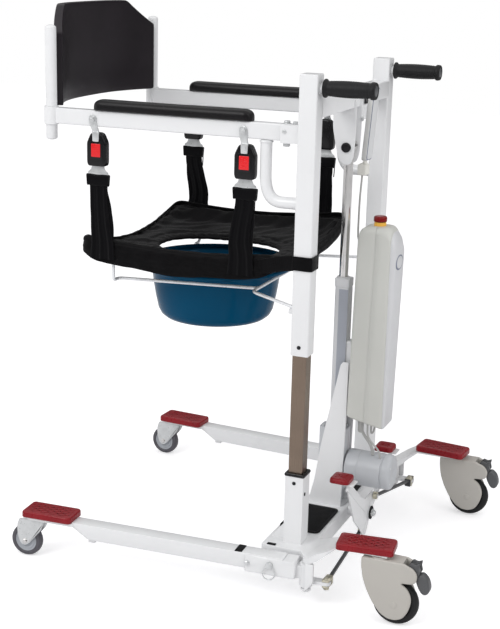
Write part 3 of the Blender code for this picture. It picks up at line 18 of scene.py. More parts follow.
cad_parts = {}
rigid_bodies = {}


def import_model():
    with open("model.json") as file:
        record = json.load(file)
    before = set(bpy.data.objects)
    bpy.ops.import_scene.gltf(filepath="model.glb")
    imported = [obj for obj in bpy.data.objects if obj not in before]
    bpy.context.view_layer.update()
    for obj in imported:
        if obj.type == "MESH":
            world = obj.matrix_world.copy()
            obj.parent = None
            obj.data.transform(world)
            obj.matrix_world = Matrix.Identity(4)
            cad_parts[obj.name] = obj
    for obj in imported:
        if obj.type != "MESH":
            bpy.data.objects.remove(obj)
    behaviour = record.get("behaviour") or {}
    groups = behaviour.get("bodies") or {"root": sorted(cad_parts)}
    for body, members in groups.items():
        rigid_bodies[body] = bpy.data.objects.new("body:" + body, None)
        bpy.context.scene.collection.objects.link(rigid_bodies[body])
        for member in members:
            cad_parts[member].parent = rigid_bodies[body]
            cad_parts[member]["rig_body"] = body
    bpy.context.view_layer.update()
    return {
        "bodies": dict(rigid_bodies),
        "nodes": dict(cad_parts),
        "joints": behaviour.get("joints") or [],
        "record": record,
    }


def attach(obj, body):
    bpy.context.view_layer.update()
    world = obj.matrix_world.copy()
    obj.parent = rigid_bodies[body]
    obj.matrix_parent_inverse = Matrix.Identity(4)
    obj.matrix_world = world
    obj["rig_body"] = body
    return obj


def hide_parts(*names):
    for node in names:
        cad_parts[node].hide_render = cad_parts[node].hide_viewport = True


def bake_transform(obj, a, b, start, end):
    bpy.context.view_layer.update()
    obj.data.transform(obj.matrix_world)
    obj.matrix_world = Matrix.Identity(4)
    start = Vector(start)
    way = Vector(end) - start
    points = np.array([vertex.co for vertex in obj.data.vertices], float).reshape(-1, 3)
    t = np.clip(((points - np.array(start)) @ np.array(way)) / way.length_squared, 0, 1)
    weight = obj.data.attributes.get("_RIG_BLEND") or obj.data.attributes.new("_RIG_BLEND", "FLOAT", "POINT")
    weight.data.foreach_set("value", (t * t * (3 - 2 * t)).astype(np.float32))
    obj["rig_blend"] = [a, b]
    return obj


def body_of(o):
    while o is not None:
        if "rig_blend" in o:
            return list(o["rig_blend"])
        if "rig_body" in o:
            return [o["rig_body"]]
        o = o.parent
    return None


LOG = logging.getLogger("patient_lift")
Array = np.ndarray
Pair = tuple[float, float]
Triple = tuple[float, float, float]
Outline = tuple[Pair, ...]
Socket = bpy.types.NodeSocket
MM = 0.001
TAU = math.tau
MERGE = 2e-6

# Places that several sub-assemblies share

MAST_Y = 249.0
RAIL_Y = 247.0
POST = (608.0, 252.0)
HINGE = (-57.0, 330.0)
SPLAY = 3.4
SCREW_X = -5.0


class Side(Enum):
    """The two sides of the lift; the value is the sign of Y."""

    LEFT = 1
    RIGHT = -1

    @property
    def word(self) -> str:
        """The side's word in the names of pieces."""
        return self.name.lower()


class Plane(Enum):
    """The plane an outline is drawn in, as the axes of its two coordinates and of its thickness."""

    XZ = (0, 2, 1)
    YZ = (1, 2, 0)
    XY = (0, 1, 2)


# Shapes


@dataclass
class Shape:
    """Points in millimetres and the faces between them.

    Args:
        points: an array of shape (count, 3).
        faces: arrays of point numbers, one row for each face.
        uv: a pair of numbers for each point, or None.
    """

    points: Array
    faces: list[Array]
    uv: Array | None = None

    def moved(self, matrix: Matrix) -> "Shape":
        """The shape after a turn and shift given in millimetres."""
        m = np.array(matrix)
        return Shape(self.points @ m[:3, :3].T + m[:3, 3], self.faces, self.uv)

    def shifted(self, x: float = 0, y: float = 0, z: float = 0) -> "Shape":
        """The shape moved along the axes."""
        return Shape(self.points + np.array([x, y, z]), self.faces, self.uv)

    def flipped(self, side: Side) -> "Shape":
        """The shape mirrored in Y for the right side, and as it is for the left."""
        return Shape(self.points * np.array([1, side.value, 1]), self.faces, self.uv)


def joined(*shapes: Shape) -> Shape:
    """Several shapes as one.

    Args:
        shapes: the shapes, whose UVs are kept where all of them have some.

    Returns:
        One shape with all their points and faces.
    """
    points, faces, start = [], [], 0
    for shape in shapes:
        points.append(shape.points)
        faces.extend(rows + start for rows in shape.faces)
        start += len(shape.points)
    with_uv = all(shape.uv is not None for shape in shapes)
    return Shape(np.concatenate(points), faces, np.concatenate([s.uv for s in shapes]) if with_uv else None)


def surface(points: Array, closed: bool = False, uv: Array | None = None) -> Shape:
    """Rings of points as a surface: face (i, j) joins the points (i, j), (i, j+1), (i+1, j+1) and (i+1, j).

    Args:
        points: an array of shape (rings, points in each, 3).
        closed: whether the last ring meets the first; if not, a face closes each end.
        uv: an array of shape (rings, points in each, 2), or None.

    Returns:
        The surface.
    """
    rings, count = points.shape[:2]
    here = np.arange(rings if closed else rings - 1)[:, None] * count + np.arange(count)
    over = (here + count) % (rings * count)
    turn = np.roll(np.arange(count), -1)
    faces = [np.stack([here, here[:, turn], over[:, turn], over], axis=-1).reshape(-1, 4)]
    if not closed:
        ring = np.arange(count)[None, :]
        faces += [ring[:, ::-1], ring + (rings - 1) * count]
    return Shape(points.reshape(-1, 3), faces, None if uv is None else uv.reshape(-1, 2))


def lengths(rows: Array) -> Array:
    """The length of each row, as a column."""
    return np.linalg.norm(rows, axis=1, keepdims=True)


def quarter(count: int) -> Array:
    """Even angles from zero to a right angle."""
    return np.linspace(0, math.pi / 2, count)


def full(count: int) -> Array:
    """Even angles round a circle."""
    return np.linspace(0, TAU, count, endpoint=False)


def ways(angles: Array) -> Array:
    """The direction of each angle in its plane: (cos a, sin a)."""
    return np.stack([np.cos(angles), np.sin(angles)], axis=-1)


def raised(spots: Array, z: Array | float) -> Array:
    """Points of a plan lifted to one height, or to a height each."""
    return np.concatenate([spots, np.broadcast_to(z, spots.shape[:-1])[..., None]], axis=-1)


def stood(start: tuple, axis: tuple) -> Matrix:
    """The place that puts the origin at the start and turns Z to the axis."""
    turn = Vector((0, 0, 1)).rotation_difference(Vector(axis).normalized()).to_matrix().to_4x4()
    return Matrix.Translation(Vector(start)) @ turn


def turned(profile: list[Pair], start: tuple, axis: tuple = (0, 0, 1), steps: int = 64,
           closed: bool = True) -> Shape:
    """A profile of (radius, height) pairs turned about a line: x = r cos a, y = r sin a, z = h.

    Args:
        profile: the pairs, in order round the section.
        start: the point at height zero.
        axis: the direction of height.
        steps: how many turns the circle is cut into.
        closed: whether the profile's last point meets its first.

    Returns:
        The turned surface.
    """
    r, h = np.array(profile, float).T
    points = raised(r[:, None, None] * circle(1, steps), h[:, None])
    return surface(points, closed).moved(stood(start, axis))


def oblong(half_a: float, half_b: float, radius: float, steps: int = 6) -> Array:
    """A rectangle with round corners: four quarter circles of the radius about the inner corners.

    Args:
        half_a: half the width.
        half_b: half the height.
        radius: the corners' radius.
        steps: points in each corner, less one.

    Returns:
        The outline's points.
    """
    a = quarter(steps + 1)[None, :] + np.arange(4)[:, None] * math.pi / 2
    mid = np.array([[1, 1], [-1, 1], [-1, -1], [1, -1]]) * [half_a - radius, half_b - radius]
    return (mid[:, None, :] + radius * ways(a)).reshape(-1, 2)


def mirrored(profile: list[Pair], middle: list[Pair] = ()) -> list[Pair]:
    """A profile with its mirror image at negative heights, and a middle part between the two."""
    return [*profile, *middle, *((radius, -height) for radius, height in profile[::-1])]


def circle(radius: float, steps: int = 24) -> Array:
    """Evenly spaced points on a circle about the origin."""
    return radius * ways(full(steps))


def filleted(outline: list[tuple[float, ...]], radius: float, steps: int = 5, closed: bool = True) -> Array:
    """The outline or path with each corner replaced by a curve from one side to the other.

    Near a corner C the curve is (1-t)^2 A + 2t(1-t) C + t^2 B, with A and B on the two sides, a radius away
    or at most a little under half of the side.

    Args:
        outline: the corners, in two or three dimensions.
        radius: how far from the corner the curve starts.
        steps: points on each curve, less one.
        closed: whether the last corner joins the first.

    Returns:
        The points of the rounded outline.
    """
    corners = np.array(outline, float)
    ends = []
    for other in (np.roll(corners, 1, axis=0), np.roll(corners, -1, axis=0)):
        length = lengths(other - corners)
        ends.append(corners + (other - corners) / length * np.minimum(radius, 0.48 * length))
    a, b = ends
    t = np.linspace(0, 1, steps + 1)[None, :, None]
    curves = (1 - t) ** 2 * a[:, None] + 2 * t * (1 - t) * corners[:, None] + t**2 * b[:, None]
    if closed:
        return curves.reshape(-1, corners.shape[1])
    return np.concatenate([corners[:1], curves[1:-1].reshape(-1, corners.shape[1]), corners[-1:]])


def inset(outline: Array, amount: float) -> Array:
    """The outline moved inwards by the amount: each point goes along the bisector of its two sides' normals."""
    ahead = np.roll(outline, -1, axis=0) - outline
    ahead /= lengths(ahead)
    normal = np.stack([-ahead[:, 1], ahead[:, 0]], axis=-1)
    area = 0.5 * np.sum(outline[:, 0] * np.roll(outline[:, 1], -1) - np.roll(outline[:, 0], -1) * outline[:, 1])
    both = normal + np.roll(normal, 1, axis=0)
    both /= np.maximum(np.sum(both * both, axis=1, keepdims=True) / 2, 0.35)
    return outline + both * amount * np.sign(area)


def prism(outline: Array, low: float, high: float, plane: Plane, edge: float = 1.0, steps: int = 3) -> Shape:
    """An outline given thickness, with its two rims rounded by quarter circles of the edge radius.

    Args:
        outline: the points in the plane.
        low: where the thickness starts.
        high: where it ends.
        plane: the outline's plane.
        edge: the rims' radius.
        steps: cuts in each rim.

    Returns:
        The closed solid.
    """
    outline = np.asarray(outline, float)
    a = quarter(steps + 1)
    rise, back = edge * (1 - np.cos(a)), edge * (1 - np.sin(a))
    levels = np.concatenate([low + rise, (high - rise)[::-1]])
    insets = np.concatenate([back, back[::-1]])
    first, second, third = plane.value
    rings = np.empty((len(levels), len(outline), 3))
    for row, (level, amount) in enumerate(zip(levels, insets)):
        rings[row][:, [first, second]] = inset(outline, amount)
        rings[row][:, third] = level
    return surface(rings)


def block(x: tuple, y: tuple, z: tuple, edge: float = 1.5, corner: float = 2.0, up: Plane = Plane.XY) -> Shape:
    """A box between two limits on each axis, with round upright corners and rims.

    Args:
        x: the limits in X.
        y: the limits in Y.
        z: the limits in Z.
        edge: the rims' radius.
        corner: the radius of the four corners in the plane.
        up: the plane of the rounded rectangle.

    Returns:
        The closed solid.
    """
    limits = (sorted(x), sorted(y), sorted(z))
    (a0, a1), (b0, b1), (c0, c1) = (limits[i] for i in up.value)
    outline = oblong((a1 - a0) / 2, (b1 - b0) / 2, corner) + [(a0 + a1) / 2, (b0 + b1) / 2]
    return prism(outline, c0, c1, up, edge)


def rod(start: tuple, end: tuple, radius: float, edge: float = 0.8, steps: int = 32) -> Shape:
    """A round bar between two points, with rounded ends."""
    length = (Vector(end) - Vector(start)).length
    a = quarter(4)
    rise, back = edge * (1 - np.cos(a)), edge * (1 - np.sin(a))
    profile = [*zip(radius - back, rise), *zip((radius - back)[::-1], (length - rise)[::-1])]
    return turned(profile, start, tuple(Vector(end) - Vector(start)), steps, False)


def frames_along(path: Array, first: Vector | None = None, closed: bool = False) -> tuple[Array, Array]:
    """Two directions across a path at each point, carried along it with the least turning.

    Args:
        path: the points.
        first: the wanted first direction, or None for any.
        closed: whether the path is a loop.

    Returns:
        The two directions at each point.
    """
    tangents = np.roll(path, -1, axis=0) - np.roll(path, 1, axis=0) if closed else np.gradient(path, axis=0)
    tangents /= lengths(tangents)
    here = Vector(tangents[0])
    side = Vector(first) if first is not None else here.orthogonal()
    side = (side - here * side.dot(here)).normalized()
    sides = []
    for tangent in tangents:
        there = Vector(tangent)
        side = here.rotation_difference(there) @ side
        side = (side - there * side.dot(there)).normalized()
        sides.append(side)
        here = there
    one = np.array(sides)
    return one, np.cross(tangents, one)


def swept(path: Array, section: Array, first: tuple | None = None, closed: bool = False,
          scale: Array | None = None, unit: float | None = None) -> Shape:
    """A section carried along a path: point = path + a * one + b * other, with (a, b) from the section.

    Args:
        path: the points of the path.
        section: the closed outline of the section.
        first: the direction of the section's first coordinate at the start.
        closed: whether the path is a loop.
        scale: two factors for each point of the path, on the section's two coordinates.
        unit: the length that one step in U and V stands for, or None for no UVs.

    Returns:
        The solid, with U across the section and V along the path.
    """
    path = np.asarray(path, float)
    one, other = frames_along(path, None if first is None else Vector(first), closed)
    scale = np.ones((len(path), 2)) if scale is None else scale
    a, b = section[:, 0], section[:, 1]
    points = (path[:, None] + one[:, None] * (a[None, :] * scale[:, :1])[..., None]
              + other[:, None] * (b[None, :] * scale[:, 1:])[..., None])
    if unit is None:
        return surface(points, closed)
    return surface(points, closed, np.stack(np.broadcast_arrays(a / unit, run_along(path)[:, None] / unit), axis=-1))


def run_along(path: Array) -> Array:
    """How far along a path each of its points lies."""
    return np.concatenate([[0], np.cumsum(np.linalg.norm(np.diff(path, axis=0), axis=1))])


def bezier(points: list[tuple], count: int) -> Array:
    """A smooth path through the points: a cubic between neighbours whose slope at each is half of the step
    from the point before it to the point after it.

    Args:
        points: the points passed through.
        count: how many points the path has.

    Returns:
        The path's points, evenly spaced in the parameter.
    """
    knots = np.array(points, float)
    slopes = np.gradient(knots, axis=0)
    t = np.linspace(0, len(knots) - 1, count)
    i = np.minimum(t.astype(int), len(knots) - 2)
    s = (t - i)[:, None]
    a, b, da, db = knots[i], knots[i + 1], slopes[i], slopes[i + 1]
    return ((2 * s**3 - 3 * s**2 + 1) * a + (s**3 - 2 * s**2 + s) * da
            + (3 * s**2 - 2 * s**3) * b + (s**3 - s**2) * db)


def waves(points: Array, seed: int, length: float, count: int = 7) -> Array:
    """A soft uneven field from -1 to 1: the mean of sines in random directions with about one wavelength.

    Args:
        points: where the field is wanted.
        seed: the number that the directions are drawn from.
        length: the middle wavelength.
        count: how many sines are added.

    Returns:
        One value for each point.
    """
    draw = np.random.default_rng(seed)
    way = draw.normal(size=(count, points.shape[-1]))
    way /= lengths(way)
    way *= TAU / (length * draw.uniform(0.6, 1.6, size=(count, 1)))
    return np.sin(points @ way.T + draw.uniform(0, TAU, count)).mean(axis=-1) * 1.6


# Finishes


class Graph:
    """A hand on one material's nodes."""

    def __init__(self, name: str) -> None:
        """Starts a material with its shader and the object's own coordinates."""
        self.material = bpy.data.materials.new(name)
        self.material.use_nodes = True
        self.tree = self.material.node_tree
        self.shader = self.tree.nodes["Principled BSDF"]
        self.place = self.tree.nodes.new("ShaderNodeTexCoord")

    def set(self, node: bpy.types.Node, key: str | int, value: object) -> None:
        """Links a socket to an input, or writes a plain value in it."""
        if isinstance(value, bpy.types.NodeSocket):
            self.tree.links.new(value, node.inputs[key])
        else:
            node.inputs[key].default_value = value

    def node(self, kind: str, inputs: dict | None = None, **settings: object) -> bpy.types.Node:
        """Adds a node.

        Args:
            kind: the node's type, without its usual first word.
            inputs: values or sockets for its inputs.
            settings: its own properties.

        Returns:
            The node.
        """
        made = self.tree.nodes.new("ShaderNode" + kind)
        for key, value in settings.items():
            setattr(made, key, value)
        for key, value in (inputs or {}).items():
            self.set(made, key, value)
        return made

    def spot(self, scale: tuple = (1, 1, 1)) -> Socket:
        """The object's coordinates stretched by a factor on each axis."""
        return self.node("Mapping", {"Vector": self.place.outputs["Object"], "Scale": scale}).outputs[0]

    def noise(self, scale: float, detail: float = 2.0, vector: Socket | None = None) -> Socket:
        """Soft noise with about one feature in 1/scale metres."""
        vector = vector or self.place.outputs["Object"]
        return self.node("TexNoise", {"Vector": vector, "Scale": scale, "Detail": detail}).outputs["Fac"]

    def spread(self, value: Socket, low: float, high: float, start: float = 0.0, end: float = 1.0) -> Socket:
        """The value's range from low to high mapped on the range from start to end."""
        return self.node("MapRange", {"Value": value, "From Min": low, "From Max": high, "To Min": start,
                                      "To Max": end}).outputs[0]

    def sum(self, one: object, other: object, operation: str = "ADD") -> Socket:
        """One sum of two values."""
        return self.node("Math", {0: one, 1: other}, operation=operation).outputs[0]

    def mix(self, factor: object, one: object, other: object) -> Socket:
        """A mix of two colours."""
        made = self.node("Mix", data_type="RGBA")
        for key, value in ((0, factor), (6, one), (7, other)):
            if isinstance(value, tuple):
                value = (*value, 1.0)
            self.set(made, key, value)
        return made.outputs[2]

    def dress(self, colour: Socket, roughness: Socket, normal: Socket) -> None:
        """Links the shader's colour, roughness and normal."""
        for key, socket in (("Base Color", colour), ("Roughness", roughness), ("Normal", normal)):
            self.set(self.shader, key, socket)

    def bump(self, height: Socket, depth: float, under: Socket | None = None,
             strength: float = 1.0) -> Socket:
        """The normal of a height from 0 to 1 that stands for a depth in millimetres.

        Args:
            height: the height.
            depth: how deep it is, in millimetres.
            under: the normal of a coarser bump that this one lies on.
            strength: the share of it that shows.

        Returns:
            The normal.
        """
        inputs = {"Height": height, "Distance": depth * MM, "Strength": strength}
        if under is not None:
            inputs["Normal"] = under
        return self.node("Bump", inputs).outputs[0]


MADE: dict[str, bpy.types.Material] = {}


@dataclass(frozen=True)
class Finish:
    """A plain moulded or painted surface: an even colour with faint clouds, and a fine grain.

    Args:
        name: the material's name.
        slot: the record's slot that the finish comes from.
        colour: its base colour.
        roughness: the middle of its roughness.
        metallic: 1 for a metal.
        coat: how much clear coat lies on it.
        grain: how deep the fine grain is, in millimetres.
        grain_scale: how many grains there are in a metre.
        cloud: how much the colour varies.
        cloud_scale: how many clouds there are in a metre.
        shine: how much a plain surface mirrors, 0.5 being usual.
    """

    name: str
    slot: str
    colour: Triple
    roughness: float = 0.4
    metallic: float = 0.0
    coat: float = 0.0
    grain: float = 0.03
    grain_scale: float = 1500.0
    cloud: float = 0.06
    cloud_scale: float = 9.0
    shine: float = 0.5

    def material(self) -> bpy.types.Material:
        """The finish's material, made the first time it is asked for."""
        if self.name not in MADE:
            graph = Graph(self.name)
            shader = graph.shader
            shader.inputs["Metallic"].default_value = self.metallic
            shader.inputs["Specular IOR Level"].default_value = self.shine
            if self.coat:
                shader.inputs["Coat Weight"].default_value = self.coat
                shader.inputs["Coat Roughness"].default_value = 0.12
            self.dress(graph)
            MADE[self.name] = graph.material
        return MADE[self.name]

    def clouded(self, graph: Graph) -> Socket:
        """The colour, a little darker in soft clouds."""
        factor = graph.spread(graph.noise(self.cloud_scale, 3.0), 0.35, 0.7)
        shade = tuple(c * (1 - self.cloud) for c in self.colour)
        return graph.mix(factor, self.colour, shade)

    def dress(self, graph: Graph) -> None:
        """Links the colour, roughness and grain."""
        colour = self.clouded(graph)
        rough = graph.spread(graph.noise(self.cloud_scale * 5, 4.0), 0.3, 0.7, self.roughness - 0.05,
                             self.roughness + 0.05)
        graph.dress(colour, rough, graph.bump(graph.noise(self.grain_scale, 2.0), self.grain))


@dataclass(frozen=True)
class PowderPaint(Finish):
    """Powder paint: an orange peel of soft dimples, and a few dull rubbed places."""

    peel_scale: float = 420.0
    rubbed: float = 0.12

    def dress(self, graph: Graph) -> None:
        """Links the paint's colour, rubbed patches and orange peel."""
        rub = graph.spread(graph.noise(26.0, 6.0), 0.58, 0.72)
        dull = tuple(c * 0.965 for c in self.colour)
        colour = graph.mix(rub, self.clouded(graph), dull)
        rough = graph.spread(rub, 0.0, 1.0, self.roughness, self.roughness + self.rubbed)
        peel = graph.bump(graph.noise(self.peel_scale, 1.0), 0.09, strength=0.5)
        graph.dress(colour, rough, graph.bump(graph.noise(self.grain_scale, 1.0), 0.012, peel, 0.6))


@dataclass(frozen=True)
class BrushedMetal(Finish):
    """Metal with fine lines along one direction, and faint handling marks."""

    lines: Triple = (900.0, 900.0, 9.0)
    line_depth: float = 0.02

    def dress(self, graph: Graph) -> None:
        """Links the lines to colour, roughness and bump."""
        line = graph.noise(1.0, 3.0, graph.spot(self.lines))
        stain = graph.spread(graph.noise(self.cloud_scale, 4.0), 0.42, 0.68)
        dark = tuple(c * (1 - self.cloud) for c in self.colour)
        light = tuple(min(1.0, c * 1.06) for c in self.colour)
        streaked = graph.mix(graph.spread(line, 0.3, 0.7), self.colour, light)
        colour = graph.mix(stain, streaked, dark)
        rough = graph.spread(line, 0.3, 0.7, self.roughness - 0.05, self.roughness + 0.07)
        graph.dress(colour, rough, graph.bump(line, self.line_depth, strength=0.5))


@dataclass(frozen=True)
class MouldedSkin(Finish):
    """The skin of moulded foam: a leather-like net of shallow creases between small cells."""

    cells: float = 520.0
    crease: float = 0.10

    def dress(self, graph: Graph) -> None:
        """Links the colour and the net of creases."""
        colour = self.clouded(graph)
        cell = graph.node("TexVoronoi", {"Vector": graph.spot(), "Scale": self.cells}, feature="DISTANCE_TO_EDGE")
        edge = graph.spread(cell.outputs["Distance"], 0.0, 0.12)
        rough = graph.spread(edge, 0.0, 1.0, self.roughness + 0.12, self.roughness)
        soft = graph.bump(graph.noise(60.0, 2.0), 0.12, strength=0.5)
        graph.dress(colour, rough, graph.bump(edge, self.crease, soft, 0.5))


@dataclass(frozen=True)
class WovenCloth(Finish):
    """Plain-woven nylon: two crossed families of threads, with a sheen and slight slubs."""

    threads: float = 330.0

    def dress(self, graph: Graph) -> None:
        """Links the threads to colour and bump."""
        graph.shader.inputs["Sheen Weight"].default_value = 0.06
        graph.shader.inputs["Sheen Roughness"].default_value = 0.4
        ways = [graph.node("TexWave", {"Vector": graph.place.outputs["Object"], "Scale": self.threads,
                                       "Distortion": 0.6}, bands_direction=way).outputs["Fac"] for way in ("X", "Y")]
        weave = graph.sum(ways[0], ways[1], "MULTIPLY")
        slub = graph.noise(240.0, 3.0)
        fold = graph.spread(graph.noise(30.0, 4.0), 0.35, 0.7)
        dark = tuple(c * 0.55 for c in self.colour)
        threads = graph.mix(weave, dark, self.colour)
        worn = tuple(c * 1.5 for c in self.colour)
        colour = graph.mix(graph.sum(fold, 0.45, "MULTIPLY"), threads, worn)
        rough = graph.spread(slub, 0.3, 0.7, self.roughness - 0.08, self.roughness + 0.08)
        crumple = graph.bump(graph.noise(95.0, 4.0), 0.9, strength=0.5)
        graph.dress(colour, rough, graph.bump(weave, 0.12, crumple, 0.7))


@dataclass(frozen=True)
class Webbing(Finish):
    """Seat-belt webbing: fine ribs along the strap, crossed by the weft, with a closer selvedge."""

    ribs: float = 7.5

    def dress(self, graph: Graph) -> None:
        """Links the ribs, which follow the strap's own UVs."""
        graph.shader.inputs["Sheen Weight"].default_value = 0.05
        rib = graph.node("TexWave", {"Vector": graph.place.outputs["UV"], "Scale": self.ribs}, bands_direction="X")
        weft = graph.node("TexWave", {"Vector": graph.place.outputs["UV"], "Scale": self.ribs * 1.6},
                          bands_direction="Y")
        weave = graph.sum(graph.sum(rib.outputs["Fac"], 0.7, "MULTIPLY"),
                          graph.sum(weft.outputs["Fac"], 0.3, "MULTIPLY"))
        dark = tuple(c * 0.5 for c in self.colour)
        colour = graph.mix(weave, dark, self.colour)
        rough = graph.spread(graph.noise(40.0, 3.0), 0.3, 0.7, self.roughness - 0.06, self.roughness + 0.08)
        graph.dress(colour, rough, graph.bump(weave, 0.25, strength=0.7))


PAINT = PowderPaint("white powder paint", "white_paint", (0.77, 0.775, 0.785), 0.30, coat=0.15, cloud=0.02)
STEEL = BrushedMetal("column steel", "stainless", (0.24, 0.185, 0.145), 0.30, 1.0, cloud=0.22, cloud_scale=5.0)
BRIGHT = BrushedMetal("bright steel", "stainless", (0.72, 0.71, 0.70), 0.16, 1.0, cloud=0.10, cloud_scale=30.0,
                      line_depth=0.008)
ZINC = Finish("zinc plate", "zinc", (0.70, 0.715, 0.72), 0.32, 0.6, grain=0.004, grain_scale=500.0, cloud=0.14,
              cloud_scale=60.0)
BRASS = Finish("yellow zinc", "zinc", (0.74, 0.70, 0.56), 0.32, 1.0, grain=0.02, cloud=0.2, cloud_scale=120.0)
GREY_PAINT = Finish("dark tie rod paint", "zinc", (0.035, 0.036, 0.04), 0.35, cloud=0.2)
BLACK_PLASTIC = Finish("black plastic", "black_plastic", (0.012, 0.012, 0.014), 0.28, grain=0.02, cloud=0.25,
                       shine=0.3)
BLACK_CASE = Finish("buckle plastic", "black_plastic", (0.006, 0.006, 0.007), 0.24, grain=0.015, cloud=0.25, shine=0.3)
MAT_RUBBER = Finish("mat rubber", "black_rubber", (0.010, 0.010, 0.011), 0.62, grain=0.06, grain_scale=900.0,
                    cloud=0.3, shine=0.15)
GRIP_RUBBER = Finish("grip rubber", "black_rubber", (0.010, 0.010, 0.011), 0.52, grain=0.06, grain_scale=900.0,
                     cloud=0.3, shine=0.25)
TYRE = Finish("black tyre", "black_tyre", (0.016, 0.016, 0.017), 0.55, grain=0.08, grain_scale=500.0, cloud=0.4,
              cloud_scale=60.0, shine=0.3)
GREY_TYRE = Finish("grey tyre", "grey_rubber", (0.085, 0.082, 0.095), 0.48, grain=0.06, grain_scale=600.0, cloud=0.2,
                   cloud_scale=60.0)
WHEEL_HUB = Finish("wheel hub", "grey_rubber", (0.36, 0.38, 0.41), 0.38)
WARM_GREY = Finish("caster shell", "warm_grey", (0.475, 0.455, 0.42), 0.42, grain=0.05, grain_scale=1100.0, cloud=0.05)
BRAKE_GREY = Finish("brake plastic", "black_plastic", (0.085, 0.087, 0.092), 0.42, grain=0.05, grain_scale=1100.0)
CASE_BEIGE = Finish("control case", "grey_housing", (0.60, 0.605, 0.57), 0.44, grain=0.04, grain_scale=1300.0,
                    cloud=0.03)
CASE_LIGHT = Finish("control case rear", "grey_housing", (0.63, 0.635, 0.65), 0.42, grain=0.04, grain_scale=1300.0,
                    cloud=0.03)
MOTOR_GREY = Finish("motor cover", "grey_housing", (0.50, 0.515, 0.54), 0.34, grain=0.05, grain_scale=900.0,
                    cloud=0.04)
# Painted shade: the dark colour of the strips that stand for the actuator tube's grooves.
GROOVE_SHADE = Finish("shaded groove", "grey_housing", (0.37, 0.39, 0.44), 0.40, cloud=0.05)
HANDSET_GREY = Finish("handset case", "grey_housing", (0.66, 0.67, 0.68))
WIRE = Finish("bright wire", "zinc", (0.88, 0.89, 0.91), 0.3, 0.15, grain=0.01, cloud=0.1, cloud_scale=60.0)
STOP_RED = Finish("stop button red", "red_button", (0.22, 0.004, 0.004), 0.28, grain=0.01, cloud=0.08, shine=0.3)
# Dark seam lines on the handset, and painted shade round the control case's raised oval.
LINE_TEAL = Finish("thin gasket", "grey_housing", (0.20, 0.22, 0.29), 0.5, grain=0.01)
HANDSET_DARK = Finish("handset body", "grey_housing", (0.68, 0.68, 0.67), 0.45)
BLOCK_BEIGE = Finish("cord block", "grey_housing", (0.80, 0.79, 0.74), 0.45)
CORD_GREY = Finish("cord sheath", "black_plastic", (0.42, 0.42, 0.41), 0.5, grain=0.02, grain_scale=900.0)
RED_COVER = Finish("red cover", "red_plastic", (0.25, 0.006, 0.012), 0.30, grain=0.05, grain_scale=900.0, cloud=0.16,
                   cloud_scale=30.0, shine=0.3)
RED_BUTTON = Finish("red button", "red_button", (0.76, 0.003, 0.008), 0.30, grain=0.01, cloud=0.08)
YELLOW = Finish("yellow collar", "grey_housing", (0.95, 0.52, 0.07), 0.36, grain=0.02)
PAN_BLUE = Finish("blue pan", "blue_plastic", (0.0005, 0.062, 0.135), 0.22, coat=0.03, grain_scale=300.0, cloud=0.12,
                  cloud_scale=7.0, shine=0.06)
SKIN = MouldedSkin("moulded black skin", "black_skin", (0.008, 0.007, 0.008), 0.27, cloud=0.2, shine=0.22)
PANEL_SKIN = MouldedSkin("panel skin", "black_skin", (0.016, 0.012, 0.016), 0.30, cloud=0.35, cloud_scale=7.0,
                         crease=0.06, shine=0.28)
CLOTH = WovenCloth("black nylon", "black_fabric", (0.0045, 0.0042, 0.0048), 0.50, shine=0.06)
STRAP = Webbing("black webbing", "black_fabric", (0.004, 0.0038, 0.0048), 0.38, shine=0.05)


